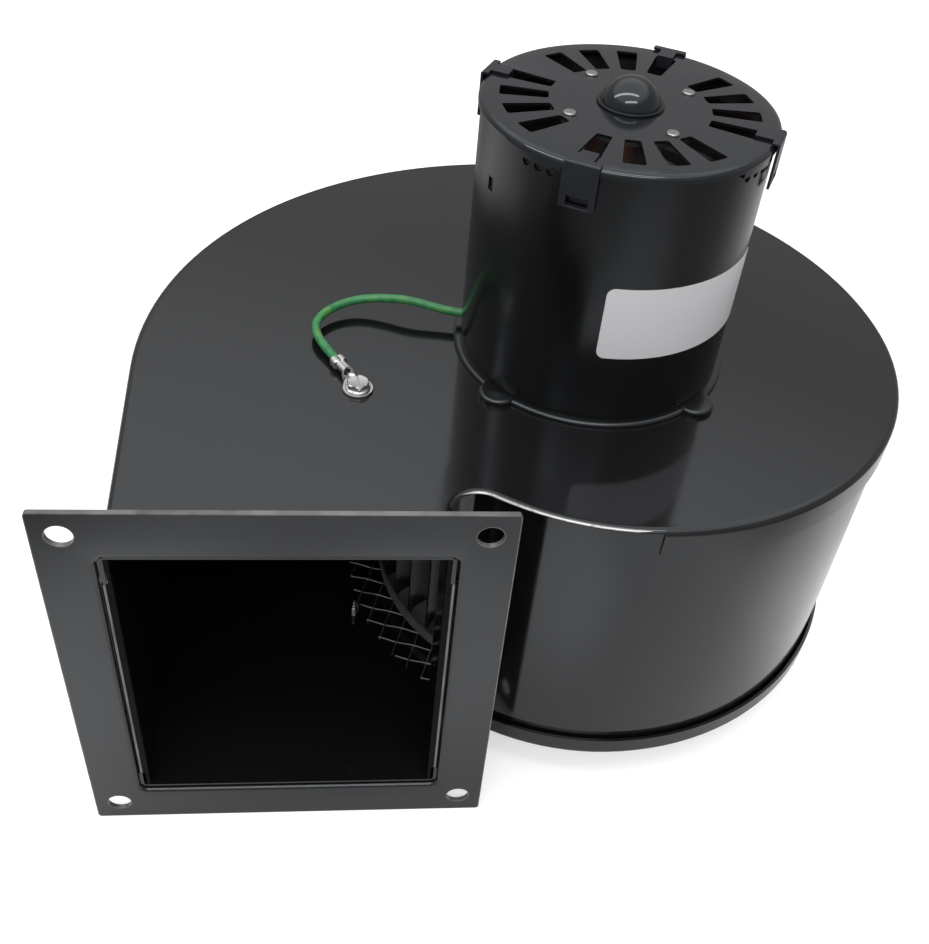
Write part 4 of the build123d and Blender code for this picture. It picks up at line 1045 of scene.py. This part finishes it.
def screw_mesh(bm, place):
    """Hex washer-head screw with rolled thread. The washer's underside is at zero."""
    angles = [2 * math.pi * i / SCREW_SIDES for i in range(SCREW_SIDES)]
    rings = []
    steps = int(SCREW_LENGTH / SCREW_PITCH * THREAD_RINGS)
    for k in range(steps + 1):
        z = -SCREW_LENGTH * (1 - k / steps)
        rings.append(screw_ring(z, [thread_radius(z, angle) for angle in angles]))
    washer = [
        (0.0, SCREW_WASHER - WASHER_ROUND_IN),
        (WASHER_ROUND_IN, SCREW_WASHER),
        (SCREW_WASHER_THICKNESS * WASHER_SIDE_TOP, SCREW_WASHER),
        (SCREW_WASHER_THICKNESS * WASHER_SLOPE_TOP, SCREW_WASHER - WASHER_SLOPE_IN),
    ]
    for z, radius in washer:
        rings.append(screw_ring(z, [radius] * SCREW_SIDES))
    top = SCREW_WASHER_THICKNESS + SCREW_HEAD
    head = [
        (SCREW_WASHER_THICKNESS, math.inf),
        (SCREW_WASHER_THICKNESS + HEAD_FOOT, math.inf),
        (top - FLATS_DROP, math.inf),
        (top - CROWN_DROP, SCREW_FLATS / 2 * CROWN_FOOT),
        (top, SCREW_FLATS / 2 * CROWN_TOP),
    ]
    hexagon = [hex_radius(angle, SCREW_FLATS) for angle in angles]
    for z, limit in head:
        rings.append(screw_ring(z, [min(limit, radius) for radius in hexagon]))
    dish = [Vector((p.x * DISH_SHARE, p.y * DISH_SHARE, top - DISH_DEPTH)) for p in rings[-1]]
    rings.append(dish)
    sweep(bm, [[place @ p for p in ring] for ring in rings], closed=False)


def slot_cutter(place):
    """Box that cuts the screw's slot."""
    bm = bmesh.new()
    bmesh.ops.create_cube(bm, size=1.0)
    top = SCREW_WASHER_THICKNESS + SCREW_HEAD
    size = Matrix.Diagonal((3 * SCREW_FLATS, SCREW_SLOT_WIDTH, 2 * SCREW_SLOT_DEPTH, 1.0))
    bm.transform(place @ Matrix.Translation((0, 0, top)) @ size)
    return add_object("slot_cutter", finished_mesh("slot_cutter", bm))


def bake_modifiers(piece):
    """Applies the modifiers of a piece to its mesh."""
    graph = bpy.context.evaluated_depsgraph_get()
    mesh = bpy.data.meshes.new_from_object(piece.evaluated_get(graph))
    piece.modifiers.clear()
    piece.data = mesh


def make_screw(name, node, place):
    """Ground screw with its slot cut."""
    bm = bmesh.new()
    screw_mesh(bm, place)
    piece = piece_from(name, bm, node)
    cutter = slot_cutter(place)
    cut = piece.modifiers.new("slot", "BOOLEAN")
    cut.object = cutter
    cut.solver = "EXACT"
    bake_modifiers(piece)
    bpy.data.objects.remove(cutter)
    round_edges(piece, SCREW_ROUND, SCREW_ROUND_ANGLE)


def make_terminal():
    """Crimped ring terminal: ring, neck, wire barrel with a seam, and insulation cuff."""
    end = Vector(LEAD_ROUTE[-1])
    turn = Matrix.Rotation(math.atan2(end.y - TERMINAL.y, end.x - TERMINAL.x), 4, "Z")
    place = Matrix.Translation(TERMINAL) @ turn
    bm = bmesh.new()
    profile = [
        (TERMINAL_HOLE, 0.0),
        (TERMINAL_RING - RING_ROUND_IN, 0.0),
        (TERMINAL_RING, RING_ROUND_DOWN),
        (TERMINAL_RING, TERMINAL_SHEET - RING_ROUND_DOWN),
        (TERMINAL_RING - RING_ROUND_IN, TERMINAL_SHEET),
        (TERMINAL_HOLE, TERMINAL_SHEET),
    ]
    lathe(bm, profile, sides=48, place=place)
    sections = [barrel_section(run * MM) for run in TERMINAL_SECTIONS]
    sweep(bm, [[place @ p for p in section] for section in sections], closed=False)
    return piece_from("ring_terminal_crimped", bm, "ring_terminal")


def barrel_section(run, count=25):
    """Closed section of the terminal's sheet at a distance from the ring's centre."""
    flat = max(0.0, min(1.0, (run - ROLL_START) / ROLL_LENGTH))
    cuff = max(0.0, min(1.0, (run - CUFF_START) / CUFF_STEP))
    flare = max(0.0, NECK_FLARE_END - run)
    roll = flat * flat * (3 - 2 * flat)
    radius = BARREL_RADIUS + cuff * (CUFF_RADIUS - BARREL_RADIUS)
    closed = math.pi * (BARREL_CLOSED - CUFF_OPENED * cuff)
    half_width = (NECK_HALF_WIDTH + flare) * (1 - roll) + radius * closed * roll
    bend = max(roll * closed, LEAST_BEND)
    curve = half_width / bend
    lift = roll * (BARREL_RISE - radius - TERMINAL_SHEET / 2) + TERMINAL_SHEET / 2
    thickness = TERMINAL_SHEET * (1 - BARREL_THINNED * roll)
    depth = (SEAM_DEPTH + SEAM_DEEPER_IN_CUFF * cuff) * roll
    outer = []
    inner = []
    for i in range(count):
        share = 2 * i / (count - 1) - 1
        angle = share * bend
        seam = 1 - depth * math.exp(-((1 - abs(share)) / SEAM_WIDTH) ** 2)
        for shell, side in ((outer, 0.5), (inner, -0.5)):
            r = (curve + side * thickness) * seam
            shell.append(Vector((run, r * math.sin(angle), lift + curve - r * math.cos(angle))))
    return outer + inner[::-1]


make_camera()
lead = make_lead()
make_world()
make_floor()
for tube, ways in TUBES.items():
    make_tube(tube, *ways)
finish_nodes()

terminal = make_terminal()
turned = Matrix.Rotation(math.radians(SCREW_TURN), 4, "Z")
upside_down = turned @ Matrix.Rotation(math.pi, 4, "X")
above = Matrix.Translation(TERMINAL + Vector((0, 0, TERMINAL_SHEET)))
below = Matrix.Translation((TERMINAL.x, TERMINAL.y, HOUSING_BOTTOM))
make_screw("ground_screw_slotted", "ground_screw", above @ turned)
make_screw("bottom_screw_slotted", "bottom_ground_screw", below @ upside_down)
make_mesh_guard()
make_cover_fold()
make_shade_sleeve()
make_coils()
rounded_copy("flange_plate", "outlet_flange", FLANGE_ROUND)
rounded_copy("vent_cap", "motor_vent_cap", CAP_ROUND)
rounded_copy("spring_clips", "cap_clips", CLIP_ROUND)
rounded_copy("motor_foot", "motor_base", FOOT_ROUND)

view_settings = bpy.context.scene.view_settings
view_settings.view_transform = "Standard"
